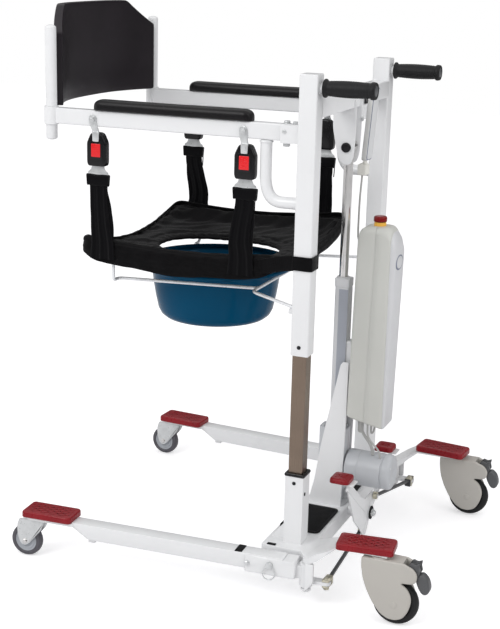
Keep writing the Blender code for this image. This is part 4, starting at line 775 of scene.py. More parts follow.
class Workshop:
    """Turns shapes into pieces that ride on the lift's bodies."""

    def __init__(self, nodes: dict[str, bpy.types.Object]) -> None:
        """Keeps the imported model's nodes, and which of them have been replaced."""
        self.nodes = nodes
        self.done: set[str] = set()

    def mesh(self, name: str, shape: Shape, finish: Finish, smooth: float) -> bpy.types.Object:
        """Makes a closed mesh of a shape, in metres, with its finish.

        Args:
            name: the object's name.
            shape: the shape in millimetres.
            finish: its surface.
            smooth: the angle in degrees under which an edge is shaded smooth.

        Returns:
            The object, at the origin.
        """
        data = bpy.data.meshes.new(name)
        data.from_pydata(shape.points * MM, [], [row for rows in shape.faces for row in rows.tolist()])
        if shape.uv is not None:
            corner = np.empty(len(data.loops), np.int32)
            data.loops.foreach_get("vertex_index", corner)
            data.uv_layers.new(name="strap").data.foreach_set("uv", shape.uv[corner].astype(np.float32).ravel())
        work = bmesh.new()
        work.from_mesh(data)
        bmesh.ops.remove_doubles(work, verts=work.verts, dist=MERGE)
        bmesh.ops.recalc_face_normals(work, faces=work.faces)
        work.to_mesh(data)
        work.free()
        return self.stand(name, data, finish, smooth)

    @staticmethod
    def stand(name: str, data: bpy.types.Mesh, finish: Finish, smooth: float) -> bpy.types.Object:
        """Puts a mesh in the scene with its finish, shaded smooth but for the edges over the angle."""
        data.name = name
        data.materials.append(finish.material())
        data.polygons.foreach_set("use_smooth", np.ones(len(data.polygons), bool))
        data.set_sharp_from_angle(angle=math.radians(smooth))
        made = bpy.data.objects.new(name, data)
        bpy.context.scene.collection.objects.link(made)
        return made

    def piece(self, name: str, shape: Shape, finish: Finish, body: str, *nodes: str, smooth: float = 38.0,
              slot: str = "") -> bpy.types.Object:
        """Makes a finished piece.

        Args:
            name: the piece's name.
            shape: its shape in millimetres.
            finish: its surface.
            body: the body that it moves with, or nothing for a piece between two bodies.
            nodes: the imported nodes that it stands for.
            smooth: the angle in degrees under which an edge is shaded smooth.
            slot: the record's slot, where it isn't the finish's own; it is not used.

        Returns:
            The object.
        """
        made = self.mesh(name, shape, finish, smooth)
        self.place(made, body, slot or finish.slot, *nodes)
        return made

    def place(self, made: bpy.types.Object, body: str, slot: str, *nodes: str) -> None:
        """Puts a piece on its body, if it has one, and hides the nodes it stands for."""
        if body:
            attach(made, body)
        if nodes:
            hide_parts(*nodes)
            self.done.update(nodes)
        LOG.info("%s on %s, %d faces", made.name, body, len(made.data.polygons))

    @staticmethod
    def trim(node: str, work: bmesh.types.BMesh) -> None:
        """Thins the rear caster plates of the base from below, and lifts their tops to the covers."""
        if node == "base_frame":
            for vert in work.verts:
                x, y, z = vert.co / MM
                if x < -120 and abs(y) > 282 and 140.5 < z < 152.5:
                    vert.co.z = (150.8 + (z - 141) * 3.6 / 10.5) * MM
                    vert.co.y = math.copysign(316 + (abs(y) - 324) * 0.68, y) * MM

    @staticmethod
    def tip(node: str, data: bpy.types.Mesh) -> None:
        """Gives the two ends of a tie rod their yellow zinc finish."""
        if node.startswith("tie_rod"):
            spots = np.empty(len(data.polygons) * 3, np.float32)
            data.polygons.foreach_get("center", spots)
            y = spots.reshape(-1, 3)[:, 1] / MM
            data.materials.append(BRASS.material())
            end = (y < y.min() + 24) | (y > y.max() - 24)
            data.polygons.foreach_set("material_index", end.astype(np.int32))

    def polish(self, node: str, finish: Finish, width: float) -> None:
        """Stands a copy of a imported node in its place, with merged points, rounded edges and smooth rounds.

        Args:
            node: the node's name.
            finish: its surface.
            width: how wide the rounding of its edges is, in millimetres.
        """
        source = self.nodes[node]
        body = body_of(source)[0]
        data = source.data.copy()
        work = bmesh.new()
        work.from_mesh(data)
        bmesh.ops.remove_doubles(work, verts=work.verts, dist=MERGE)
        bmesh.ops.dissolve_limit(work, angle_limit=math.radians(0.8), verts=work.verts, edges=work.edges)
        self.trim(node, work)
        work.to_mesh(data)
        work.free()
        data.materials.clear()
        made = self.stand(node + "_finished", data, finish, 42.0)
        self.tip(node, data)
        if width:
            edge = made.modifiers.new("rounded edges", "BEVEL")
            edge.width = width * MM
            edge.segments = 2
            edge.limit_method = "ANGLE"
            edge.angle_limit = math.radians(48)
        self.place(made, body, finish.slot, node)


# The plain studio


@dataclass(frozen=True)
class Studio:
    """The camera, floor, lamps and white surround."""

    eye: Triple = (-0.9403, 2.8781, 1.3794)
    yaw: float = -66.84
    pitch: float = -15.58
    roll: float = 1.14
    lens: float = 97.59
    shift: Pair = (0.053, 0.0214)
    surround: float = 0.76
    dim: float = 0.10
    floor_colour: float = 0.84
    floor_lift: float = 0.42

    def camera(self) -> None:
        """Places the camera: its three directions come from yaw, pitch and roll."""
        yaw, pitch, roll = (math.radians(a) for a in (self.yaw, self.pitch, self.roll))
        ahead = Vector((math.cos(pitch) * math.cos(yaw), math.cos(pitch) * math.sin(yaw), math.sin(pitch)))
        right = ahead.cross(Vector((0, 0, 1))).normalized()
        up = right.cross(ahead)
        right, up = math.cos(roll) * right + math.sin(roll) * up, -math.sin(roll) * right + math.cos(roll) * up
        data = bpy.data.cameras.new("camera")
        data.sensor_fit = "HORIZONTAL"
        data.sensor_width = 36.0
        data.lens = self.lens
        data.shift_x, data.shift_y = self.shift
        data.clip_end = 60.0
        made = bpy.data.objects.new("camera", data)
        turn = Matrix((right, up, -ahead)).transposed().to_4x4()
        made.matrix_world = Matrix.Translation(Vector(self.eye)) @ turn
        bpy.context.scene.collection.objects.link(made)
        bpy.context.scene.camera = made

    def floor(self) -> None:
        """A pale floor that takes the shadows and shows white where no shadow falls."""
        data = bpy.data.meshes.new("floor")
        reach = 9.0
        data.from_pydata([(-reach, -reach, 0), (reach, -reach, 0), (reach, reach, 0), (-reach, reach, 0)], [],
                         [(0, 1, 2, 3)])
        graph = Graph("pale floor")
        tree = graph.tree
        graph.shader.inputs["Roughness"].default_value = 0.9
        graph.shader.inputs["Specular IOR Level"].default_value = 0.0
        graph.shader.inputs["Base Color"].default_value = (self.floor_colour, self.floor_colour * 0.995,
                                                           self.floor_colour * 1.01, 1.0)
        seen = graph.node("LightPath").outputs["Is Camera Ray"]
        lift = graph.node("Emission", {"Strength": graph.sum(seen, self.floor_lift, "MULTIPLY")})
        both = graph.node("AddShader", {0: graph.shader.outputs[0], 1: lift.outputs[0]})
        tree.links.new(both.outputs[0], tree.nodes["Material Output"].inputs["Surface"])
        data.materials.append(graph.material)
        made = bpy.data.objects.new("floor", data)
        bpy.context.scene.collection.objects.link(made)

    def lamp(self, name: str, place: tuple, aim: tuple, size: float, power: float) -> None:
        """One soft square lamp.

        Args:
            name: the lamp's name.
            place: where it stands.
            aim: the point that it faces.
            size: the length of its side.
            power: its power in watts.
        """
        data = bpy.data.lights.new(name, "AREA")
        data.size = size
        data.energy = power
        made = bpy.data.objects.new(name, data)
        made.matrix_world = (Matrix.Translation(Vector(place))
                             @ (Vector(aim) - Vector(place)).to_track_quat("-Z", "Y").to_matrix().to_4x4())
        bpy.context.scene.collection.objects.link(made)

    def world(self) -> None:
        """A white surround. Gloss sees a bright ceiling and a bright wall in front, and dim walls elsewhere: the
        brighter of the direction's height between 0.3 and 0.65 and its share forwards between 0.62 and 0.9."""
        made = bpy.data.worlds.new("surround")
        made.use_nodes = True
        bpy.context.scene.world = made
        tree = made.node_tree

        def node(kind: str, *links: tuple[int | str, Socket], **values: float) -> bpy.types.Node:
            """Adds a node of the world with its values and links."""
            new = tree.nodes.new(kind)
            for key, value in values.items():
                new.inputs[key.replace("_", " ").title()].default_value = value
            for key, socket in links:
                tree.links.new(socket, new.inputs[key])
            return new

        ray = node("ShaderNodeLightPath")
        way = node("ShaderNodeTexCoord")
        parts = node("ShaderNodeSeparateXYZ", (0, way.outputs["Generated"]))
        high = node("ShaderNodeMapRange", (0, parts.outputs["Z"]), from_min=0.3, from_max=0.65, to_min=self.dim)
        ahead = node("ShaderNodeMapRange", (0, parts.outputs["X"]), from_min=0.62, from_max=0.9, to_min=self.dim)
        gloss = node("ShaderNodeMath", (0, high.outputs[0]), (1, ahead.outputs[0]))
        gloss.operation = "MAXIMUM"
        plain = node("ShaderNodeMapRange", (0, ray.outputs["Is Glossy Ray"]), (4, gloss.outputs[0]),
                     to_min=self.surround)
        seen = node("ShaderNodeMath", (0, ray.outputs["Is Camera Ray"]), (1, ray.outputs["Is Transmission Ray"]))
        seen.operation = "MAXIMUM"
        final = node("ShaderNodeMapRange", (0, seen.outputs[0]), (3, plain.outputs[0]))
        back = tree.nodes["Background"]
        back.inputs["Color"].default_value = (1.0, 1.0, 1.0, 1.0)
        tree.links.new(final.outputs[0], back.inputs["Strength"])

    def build(self) -> None:
        """Makes the studio."""
        self.camera()
        self.floor()
        self.world()
        self.lamp("key lamp", (1.6, 3.4, 3.2), (0.1, 0.0, 0.6), 2.2, 70.0)
        self.lamp("rear lamp", (-3.2, 1.0, 2.6), (0.0, 0.0, 0.6), 2.0, 26.0)
        bpy.context.scene.view_settings.view_transform = "Standard"


# The lift's pieces


def leg_place(side: Side) -> Matrix:
    """The place of a leg's own axes: its hinge, turned outwards by the splay."""
    turn = Matrix.Rotation(math.radians(side.value * SPLAY), 4, "Z")
    return Matrix.Translation(Vector((HINGE[0], side.value * HINGE[1], 0))) @ turn


def hexagon(start: tuple, end: tuple, radius: float) -> Shape:
    """A bolt's head: a six-sided bar with its rims rounded."""
    length = (Vector(end) - Vector(start)).length
    profile = [(radius - 1, 0), (radius, 0.8), (radius, length - 0.8), (radius - 1, length)]
    return turned(profile, start, tuple(Vector(end) - Vector(start)), 6, False)


def weld(middle: tuple, axis: tuple, radius: float, bead: float = 1.8) -> Shape:
    """A weld bead: a circle of round section with small even scales along it."""
    scale = 1 + 0.16 * np.sin(full(72) * 24)[:, None] * np.ones((1, 2))
    return swept(raised(circle(radius, 72), 0), circle(bead, 8), (0, 0, 1), True, scale).moved(stood(middle, axis))


@dataclass
class LiftFrame:
    """The moving frame: two masts, the beam between them, the arm braces and the actuator's lugs."""

    track: float = MAST_Y
    half: float = 20.0
    mast: Pair = (541.0, 1134.0)
    beam: Pair = (1045.0, 1085.0)
    brace_x: float = 95.0
    brace_z: float = 866.0
    brace_bend: float = 58.0
    pin: Pair = (SCREW_X, 958.0)
    lug: Outline = ((-25, 1065), (28, 1065), (28, 1000), (14, 935), (5, 922), (-6, 918),
                                            (-17, 922), (-23, 940), (-25, 990))

    def side_parts(self, side: Side) -> Shape:
        """One side's mast, cap, brace, rail bracket, lug, grip bar and hook seat."""
        y, h = self.track, self.half
        mast = block((-h, h), (y - h, y + h), self.mast, 0.8, 3.5)
        cap = block((-h + 0.8, h - 0.8), (y - h + 0.8, y + h - 0.8), (self.mast[1] - 1, self.mast[1] + 1.8), 1.2, 3.0)
        route = filleted([(h - 4, y, self.brace_z), (self.brace_x, y, self.brace_z), (self.brace_x, y, 995.7)],
                         self.brace_bend, 18, False)
        brace = swept(route, circle(12.5, 36), (0, 1, 0))
        shape = [(-16.3, 992.2), (16.3, 992.2), (16.3, 1030), (12.8, 1030), (12.8, 995.7), (-12.8, 995.7),
                 (-12.8, 1030), (-16.3, 1030)]
        bracket = prism(np.array(shape) + [RAIL_Y, 0], 18, 60, Plane.YZ, 0.8, 2)
        lug = prism(filleted(list(self.lug), 9), 18, 22, Plane.XZ, 0.8)
        bar = rod((-17, y, 1108), (-132, y, 1108), 11)
        seat = block((18, 34), (236, 250), (626.7, 637.7), 1.0, 1.5)
        beads = [weld((h + 0.2, y, self.brace_z), (1, 0, 0), 13.0), weld((self.brace_x, y, 991.5), (0, 0, 1), 13.0),
                 weld((-h - 0.2, y, 1108), (1, 0, 0), 11.6, 1.5)]
        return joined(mast, cap, brace, bracket, lug, bar, seat, *beads).flipped(side)

    def build(self, shop: Workshop) -> None:
        """Makes the painted frame, the lugs' pin and the mast screws."""
        beam = prism(oblong(self.half, (self.beam[1] - self.beam[0]) / 2, 3.5) + [0, sum(self.beam) / 2],
                     -self.track + 15, self.track - 15, Plane.XZ, 0.6)
        shop.piece("lift_frame_painted", joined(beam, *(self.side_parts(side) for side in Side)), PAINT, "lift",
                   "lift_frame")
        x, z = self.pin
        heads = [rod((x, s * 15, z), (x, s * 27, z), 11, 2.2, 40) for s in (1, -1)]
        shop.piece("lug_pin", joined(rod((x, -20, z), (x, 20, z), 6), *heads), BLACK_PLASTIC, "lift")
        dark, bright = [], [rod((-24, -20, 1018), (-29, -20, 1018), 4.6, 1.0, 6)]
        for side in Side:
            y, out = side.value * (self.track + self.half), side.value
            dark.append(rod((0.5, y - out, 560.5), (0.5, y + out * 1.2, 560.5), 4.4, 0.8, 24))
            bright.append(rod((51, out * 263, 1016), (51, out * 265.2, 1016), 4.5, 1.0, 24))
        shop.piece("mast_stop_screws", joined(*dark), BLACK_PLASTIC, "lift")
        shop.piece("frame_bolts", joined(*bright), ZINC, "lift")


@dataclass
class Grips:
    """The two push grips: a barrel between flanges, with fine rings and a dark grey end cap."""

    track: float = MAST_Y
    height: float = 1108.0
    front: float = -28.0
    length: float = 110.0

    def build(self, shop: Workshop) -> None:
        """Makes both grips; the radius along the barrel is 15.3 + 1.5 sin(pi t) with small rings on it."""
        t = np.linspace(0, 1, 70)
        h = 9 + (self.length - 22) * t
        rings = 0.32 * (0.5 + 0.5 * np.cos(t * TAU * 17)) * (np.abs(t - 0.5) < 0.46)
        r = 15.2 + 1.7 * np.sin(math.pi * t) + rings
        flange = [(11.4, 0), (17.5, 0), (19.2, 1.2), (19.4, 3.4), (18.4, 5.2), (16.2, 6.8)]
        tail = [(16.0, self.length - 11.4), (17.6, self.length - 9.6), (18.2, self.length - 7.4),
                (17.9, self.length - 4), (17.2, self.length - 0.9), (16.2, self.length), (11.4, self.length)]
        for side in Side:
            y = side.value * self.track
            start = (self.front, y, self.height)
            grip = turned([*flange, *zip(r, h), *tail], start, (-1, 0, 0), 56)
            shop.piece(f"grip_{side.word}", grip, GRIP_RUBBER, "lift", f"push_grip_{side.word}")
            cap = turned([(0, self.length - 3), (11.6, self.length - 3), (11.6, self.length - 0.9),
                          (10.6, self.length - 0.2), (0, self.length + 0.4)], start, (-1, 0, 0), 40, False)
            shop.piece(f"grip_cap_{side.word}", cap, BRAKE_GREY, "lift", slot="grey_housing")


@dataclass
class ArmRails:
    """The two arm rails with their sockets, bolts and padded tops."""

    track: float = RAIL_Y
    low: float = 996.0
    high: float = 1031.0
    rear: float = 20.3
    front: float = 600.0
    post: Pair = POST
    pad: Pair = (126.0, 500.0)

    def pad_shape(self) -> Shape:
        """A long pad: at x the section is a flat-bottomed superellipse whose width and height shrink near the
        two ends as (1 - e^3)^(1/3), with e from 0 to 1 over the last 22 mm."""
        x = np.concatenate([[0.0], np.cumsum(np.interp(np.linspace(0, 1, 84), [0, 0.14, 0.86, 1], [0.6, 8, 8, 0.6]))])
        x = self.pad[0] + (self.pad[1] - self.pad[0]) * x / x[-1]
        near = np.minimum(x - self.pad[0], self.pad[1] - x)
        e = np.clip(1 - near / 22, 0, 0.9995)
        wide = (1 - e**2.6) ** (1 / 2.6)
        tall = 0.30 + 0.70 * (1 - e**2.2) ** (1 / 2.2)
        a = full(56)
        c, s = np.cos(a), np.sin(a)
        power = np.where(s > 0, 2 / 2.9, 2 / 5.5)
        across = 20 * np.sign(c) * np.abs(c) ** power
        up = np.where(s > 0, 16.2 * np.abs(s) ** power, -8.0 * np.abs(s) ** power) + 8.0
        points = np.empty((len(x), len(a), 3))
        points[..., 0] = x[:, None]
        points[..., 1] = across[None] * wide[:, None]
        points[..., 2] = up[None] * tall[:, None]
        dip = 0.5 * np.sin((x - self.pad[0]) / (self.pad[1] - self.pad[0]) * math.pi)
        points[..., 2] -= dip[:, None] * (up > 12)[None]
        return surface(points)

    def build(self, shop: Workshop) -> None:
        """Makes the rails, bolts and pads."""
        for side in Side:
            word, y = side.word, self.track
            rail = block((self.rear, self.front), (y - 12.5, y + 12.5), (self.low, self.high), 0.8, 3.2, Plane.YZ)
            x, post_y = self.post
            ring = [(12.9, -2), (16.0, -2), (16.5, -1.4), (16.5, 36.4), (16.0, 37), (12.9, 37)]
            socket = turned(ring, (x, post_y, self.low), (0, 0, 1), 48)
            bead = weld((x - 8.5, y, 1013.5), (1, 0, 0), 15.0, 1.2)
            shop.piece(f"rail_painted_{word}", joined(rail, socket, bead).flipped(side), PAINT, "lift",
                       f"arm_rail_{word}")
            bolts = []
            for bolt_x in (500, 143):
                shank, washer, tip = (rod((bolt_x, low, 1011), (bolt_x, high, 1011), *sizes) for low, high, *sizes in (
                    (255, 265, 4), (262.9, 264.3, 8.6, 0.5, 32), (267, 268.6, 3.4, 0.8, 20)))
                bolts += [shank, washer, hexagon((bolt_x, 264, 1011), (bolt_x, 268, 1011), 6.6), tip]
            bolts += [rod((51, y, 1035), (51, y, 985.7), 4), hexagon((51, y, 991.8), (51, y, 984), 7.5),
                      rod((51, y, 1031), (51, y, 1038), 6.6, 2.4), rod((51, y, 1031), (51, y, 1032.4), 8.4, 0.4),
                      rod((33, y, 1031), (33, y, 1037), 5.0, 2.0)]
            shop.piece(f"rail_bolts_{word}", joined(*bolts).flipped(side), ZINC, "lift")
            pad = self.pad_shape().shifted(0, side.value * 248, self.high + 0.3)
            made = shop.piece(f"arm_cushion_{word}", pad, SKIN, "lift", f"arm_pad_{word}", smooth=60)


@dataclass
class Backrest:
    """The curved panel with its cut corners, the two bars behind it and the two posts.

    Seen from above, the panel's inner face is x = apex - drop * |y / half|^bend.
    """

    half: float = 227.0
    apex: float = 648.0
    drop: float = 56.0
    bend: float = 2.7
    thick: float = 18.5
    edge: float = 2.2
    top: Outline = ((0, 1251), (80, 1251), (152, 1250.5), (226, 1192), (227, 1190))
    low: Outline = ((0, 1032), (100, 1032), (222, 1032), (227, 1034))
    post: Pair = POST
    post_z: Pair = (959.0, 1210.0)
    bars: Pair = (1080.0, 1170.0)

    def spot(self, y: Array, depth: Array) -> tuple[Array, Array]:
        """The place in plan of points at a depth behind the inner face."""
        share = np.abs(y) / self.half
        x = self.apex - self.drop * share**self.bend
        slope = -self.drop * self.bend / self.half * share ** (self.bend - 1) * np.sign(y)
        size = np.hypot(1, slope)
        return x + depth / size, y - depth * slope / size

    def panel(self) -> Shape:
        """Columns across the panel. Each is a closed slice with round corners, and the last ones shrink on a
        quarter circle."""
        half = np.unique(np.concatenate([np.linspace(0, self.half - self.edge, 46), np.linspace(142, 158, 9),
                                         np.linspace(206, self.half - self.edge, 16)]))
        a = quarter(5)[1:]
        tail = self.half - self.edge + self.edge * np.sin(a)
        shrink = np.concatenate([np.zeros(len(half)), self.edge * (1 - np.cos(a))])
        half = np.concatenate([half, tail])
        y = np.concatenate([-half[:0:-1], half])
        shrink = np.concatenate([shrink[:0:-1], shrink])
        top = filleted(list(self.top), 9, 5, False)
        low = filleted(list(self.low), 6, 4, False)
        high_z = np.interp(np.abs(y), top[:, 0], top[:, 1]) - shrink
        low_z = np.interp(np.abs(y), low[:, 0], low[:, 1]) + shrink
        e, t = self.edge, self.thick
        turn = quarter(5)
        rise = np.linspace(0, 1, 30)
        depth, part, extra = [], [], []
        for d, share, more in ((np.zeros(30), rise, e * (1 - 2 * rise)),
                               (e - e * np.cos(turn), np.ones(5), -e + e * np.sin(turn)),
                               (t - e + e * np.sin(turn), np.ones(5), -e + e * np.cos(turn)),
                               (np.full(30, t), rise[::-1], e * (1 - 2 * rise[::-1])),
                               (t - e + e * np.cos(turn), np.zeros(5), e - e * np.sin(turn)),
                               (e - e * np.sin(turn), np.zeros(5), e - e * np.cos(turn))):
            depth.append(d)
            part.append(share)
            extra.append(more)
        depth, part, extra = (np.concatenate(rows) for rows in (depth, part, extra))
        z = low_z[:, None] + (high_z - low_z)[:, None] * part + extra
        deep = t / 2 + (depth - t / 2)[None] * ((t / 2 - shrink) / (t / 2))[:, None]
        x, across = self.spot(y[:, None], deep)
        return surface(np.stack([x, across, z], axis=-1))

    def build(self, shop: Workshop) -> None:
        """Makes the panel with its spacers, and the frame behind it."""
        spacers = []
        for y in (-125, 125):
            start, end = (self.spot(np.array(y), self.thick + more) for more in (-1, 4.5))
            spacers += [rod((*map(float, start), z), (*map(float, end), z), 9) for z in self.bars]
        shop.piece("backrest_shell", joined(self.panel(), *spacers), PANEL_SKIN, "backrest", "backrest_panel",
                   smooth=50)
        x, post_y = self.post
        low, high = self.post_z
        dome = [(12.5 * math.cos(a), high - 7 + 7 * math.sin(a)) for a in quarter(8)]
        foot = [(12.5 * math.cos(a), low + 5 - 5 * math.sin(a)) for a in np.linspace(math.pi / 2, 0, 6)]
        parts = [turned([*foot, *dome], (x, s * post_y, 0), (0, 0, 1), 48, False) for s in (1, -1)]
        for z in self.bars:
            y = np.linspace(-203, 203, 41)
            bar_x, bar_y = self.spot(y, np.full(41, self.thick + 8.9))
            arc = np.stack([bar_x, bar_y, np.full(41, z)], axis=-1)
            path = filleted([(x, -post_y, z), *arc.tolist(), (x, post_y, z)], 4, 3, False)
            parts.append(swept(path, circle(8, 28), (0, 0, 1)))
            parts += [weld((x + 6, s * (post_y - 12), z), (0.44, -s * 0.9, 0), 8.8, 1.2) for s in (1, -1)]
        shop.piece("backrest_bars", joined(*parts), PAINT, "backrest", "backrest_frame")


@dataclass
class Buckles:
    """The four seat buckles with their hangers and red release buttons."""

    front: Pair = (491.5, 500.0)
    rear: Pair = (139.0, 143.0)
    middle: float = 253.0
    low: float = 909.0
    high: float = 983.0

    def case(self, x: float) -> Shape:
        """The case: its outline has cut shoulders at the top and small cuts below, and its front swells."""
        half = 23.6
        outline = [(-half + 3, self.low), (half - 3, self.low), (half, self.low + 8), (half, self.high - 22),
                   (half - 9, self.high - 3), (half - 15, self.high), (-half + 15, self.high),
                   (-half + 9, self.high - 3), (-half, self.high - 22), (-half, self.low + 8)]
        return prism(filleted(outline, 5, 4) + [x, 0], 242, 263.4, Plane.XZ, 4.5, 5)

    def build(self, shop: Workshop) -> None:
        """Makes every buckle: case, button surround, hanger and button."""
        for side in Side:
            for word, (x, bolt_x) in (("front", self.front), ("rear", self.rear)):
                name = f"{word}_{side.word}"
                frame = [block((x - 15, x + 15), (262.6, 264), (924, 964), 0.6, 2.5, Plane.XZ)]
                shop.piece(f"buckle_case_{name}", joined(self.case(x), *frame).flipped(side), BLACK_CASE, "lift",
                           f"buckle_{name}")
                plate = [(x - 6.5, 966), (x + 6.5, 966), (x + 8, 985), (bolt_x + 9, 1004), (bolt_x + 9, 1017),
                         (bolt_x + 4, 1022), (bolt_x - 4, 1022), (bolt_x - 9, 1017), (bolt_x - 9, 1004), (x - 8, 985)]
                hanger = prism(filleted(plate, 4, 3), 259.9, 262.7, Plane.XZ, 0.5, 2)
                tab = [(-7.5, 964), (7.5, 964), (8.5, 986), (-8.5, 986)]
                cover = prism(filleted(tab, 2, 3) + [x, 0], 263.0, 264.6, Plane.XZ, 0.5, 2)
                slots = [block((x - 3, x + 3), (264.0, 265.0), (z, z + 1.6), 0.3, 0.6, Plane.XZ)
                         for z in (967, 971, 975, 979)]
                shop.piece(f"buckle_hanger_{name}", joined(hanger, cover, *slots).flipped(side), ZINC, "lift")
                button = block((x - 11.8, x + 11.8), (256.5, 264.3), (929.4, 959.6), 1.4, 2.0, Plane.XZ)
                ridges = [block((x - 7, x + 7), (264.0, 264.8), (z, z + 1.2), 0.3, 0.5, Plane.XZ)
                          for z in (936, 940, 944, 948, 952)]
                shop.piece(f"buckle_button_{name}", joined(button, *ridges).flipped(side), RED_BUTTON,
                           f"release_{name}", f"release_button_{name}")


@dataclass
class Seat:
    """The sling seat: a quilted cloth with an opening, its skirt and piping, four doubled straps and two bands.

    Args:
        x: the middle of its outer edge.
        hole_x: the middle of its opening.
    """

    x: float = 305.0
    half_length: float = 235.0
    half_width: float = 255.0
    power: float = 24.0
    hole_x: float = 306.0
    hole_length: float = 148.0
    hole_width: float = 103.0
    rim_z: float = 749.0
    sag: float = 41.0
    hole_z: float = 697.0
    strap_x: Outline = ((478.5, 491.5), (144.0, 139.0))
    strap_width: float = 48.0
    band_z: float = 743.5
    voxel: float = 0.005
    puffs: int = 20
    farthest: float = 4.5
    quilt_x: float = 303.0

    @staticmethod
    def reach(a: Array, half_x: float, half_y: float, power: float) -> Array:
        """How far a superellipse's edge is from its middle: (|cos a / hx|^p + |sin a / hy|^p)^(-1/p)."""
        return (np.abs(np.cos(a) / half_x) ** power + np.abs(np.sin(a) / half_y) ** power) ** (-1 / power)

    def angles(self, count: int) -> Array:
        """Directions from the middle that stand at even distances along the outer edge."""
        fine = np.linspace(0, TAU, 4001)
        r = self.reach(fine, self.half_length, self.half_width, self.power)
        run = run_along(ways(fine) * r[:, None])
        return np.interp(np.linspace(0, run[-1], count, endpoint=False), run, fine)

    def edges(self, a: Array) -> tuple[Array, Array]:
        """The outer edge and the opening's edge in each direction, seen from above."""
        outer = ways(a) * self.reach(a, self.half_length, self.half_width, self.power)[:, None] + [self.x, 0]
        inner = ways(a) * self.reach(a, self.hole_length, self.hole_width, 2.4)[:, None] + [self.hole_x, 0]
        return outer, inner

    def rim(self, outer: Array) -> Array:
        """The height of the rim: it sags between the side edges as sag * (1 - side^2), and each side edge sags
        between its straps as 15 side^2 (1 - end^2). The far side's edge rises to the masts as 10 far^2 back."""
        side = np.abs(outer[:, 1]) / self.half_width
        end = np.clip(np.abs(outer[:, 0] - self.x) / self.half_length, 0, 1)
        far = np.clip(-outer[:, 1] / self.half_width, 0, 1)
        back = np.clip(0.5 - (outer[:, 0] - self.x) / (2 * self.half_length), 0, 1)
        return self.rim_z - self.sag * (1 - side**2) - 15 * side**2 * (1 - end**2) + 10 * far**2 * back

    def pad(self) -> Shape:
        """The cloth from the opening to the rim: its height rises with L as 0.4 L^1.3 + 0.6 s(L), where s is a
        smooth step between 0.66 and 0.93 that makes the side rolls."""
        a = self.angles(300)
        outer, inner = self.edges(a)
        rim = self.rim(outer) - 3
        level = np.linspace(0, 1, 30)
        spots = inner[:, None] + (outer - inner)[:, None] * level[None, :, None]
        step = np.clip((level - 0.66) / 0.27, 0, 1)
        rise = 0.4 * level**1.3 + 0.6 * step**2 * (3 - 2 * step)
        top = self.hole_z + (rim - self.hole_z)[:, None] * rise + 3.0 * np.sin(math.pi * level) ** 2
        thick = 7.5 * np.sin(math.pi * (0.2 + 0.6 * level)) ** 0.4
        return surface(np.concatenate([raised(spots, top), raised(spots, top - thick)[:, ::-1]], axis=1), True)

    def quilt(self, data: bpy.types.Mesh) -> None:
        """Presses the seams and folds into the swollen cloth.

        With d the distance from the opening's edge, each seam is a groove -depth * exp(-((d - seam) / 4)^2), the
        ruffles round the opening are sines along it that fade with d, and the long folds are slow sines.
        """
        count = len(data.vertices)
        co = np.empty(count * 3, np.float32)
        data.vertices.foreach_get("co", co)
        co = co.reshape(-1, 3).astype(float) / MM
        a = np.arctan2(co[:, 1], co[:, 0] - self.quilt_x)
        far = np.hypot(co[:, 0] - self.quilt_x, co[:, 1])
        hole = self.reach(a, self.hole_length, self.hole_width, 2.4)
        out = self.reach(a, self.half_length, self.half_width, self.power)
        d, e = far - hole, out - far
        lift = -2.6 * np.exp(-(((d - 24) / 4.0) ** 2)) - 1.6 * np.exp(-(((d - 28.5) / 2.2) ** 2))
        lift += -2.2 * np.exp(-(((e - 17) / 3.5) ** 2))
        wander = waves(co[:, :2], 5, 90.0)
        ruffle = np.sin(a * 46 + 3.0 * wander) * np.exp(-(((d - 11) / 13) ** 2)) * (0.6 + 0.4 * wander)
        lift += 1.7 * ruffle * np.clip(d / 12, 0, 1)
        slant = waves(co[:, :2] @ np.array([[0.6, -0.8], [0.18, 0.14]]).T, 11, 34.0, 5)
        body = np.clip(d / 30, 0, 1) * np.clip(e / 18, 0, 1)
        lift += body * (2.6 * slant + 2.4 * waves(co[:, :2], 23, 130.0) + 0.8 * waves(co[:, :2], 31, 22.0))
        lift += 1.2 * np.clip(1 - e / 30, 0, 1) * np.sin(a * 70 + 2 * wander)
        co[:, 2] += lift
        data.vertices.foreach_set("co", (co * MM).astype(np.float32).ravel())
        data.update()

    def puff(self, made: bpy.types.Object) -> None:
        """Remeshes the cloth, swells it by a cloth simulation with inner pressure, and caps how far it moved."""
        remesh = made.modifiers.new("even mesh", "REMESH")
        remesh.mode = "VOXEL"
        remesh.voxel_size = self.voxel
        remesh.use_smooth_shade = True
        graph = bpy.context.evaluated_depsgraph_get()
        even = bpy.data.meshes.new_from_object(made.evaluated_get(graph))
        made.modifiers.clear()
        made.data = even
        before = np.empty(len(even.vertices) * 3, np.float32)
        even.vertices.foreach_get("co", before)
        cloth = made.modifiers.new("swelling", "CLOTH")
        cloth.settings.use_pressure = True
        cloth.settings.uniform_pressure_force = 4.0
        cloth.settings.mass = 0.25
        cloth.settings.tension_stiffness = 18
        cloth.settings.compression_stiffness = 18
        cloth.settings.effector_weights.gravity = 0.0
        cloth.point_cache.frame_start, cloth.point_cache.frame_end = 1, self.puffs
        scene = bpy.context.scene
        for step in range(1, self.puffs + 1):
            scene.frame_set(step)
        after = np.empty_like(before)
        graph = bpy.context.evaluated_depsgraph_get()
        made.evaluated_get(graph).data.vertices.foreach_get("co", after)
        made.modifiers.clear()
        scene.frame_set(1)
        move = (after - before).reshape(-1, 3)
        length = lengths(move)
        move *= np.minimum(1, self.farthest * MM / np.maximum(length, 1e-9))
        even.vertices.foreach_set("co", (before.reshape(-1, 3) + move).astype(np.float32).ravel())
        even.update()

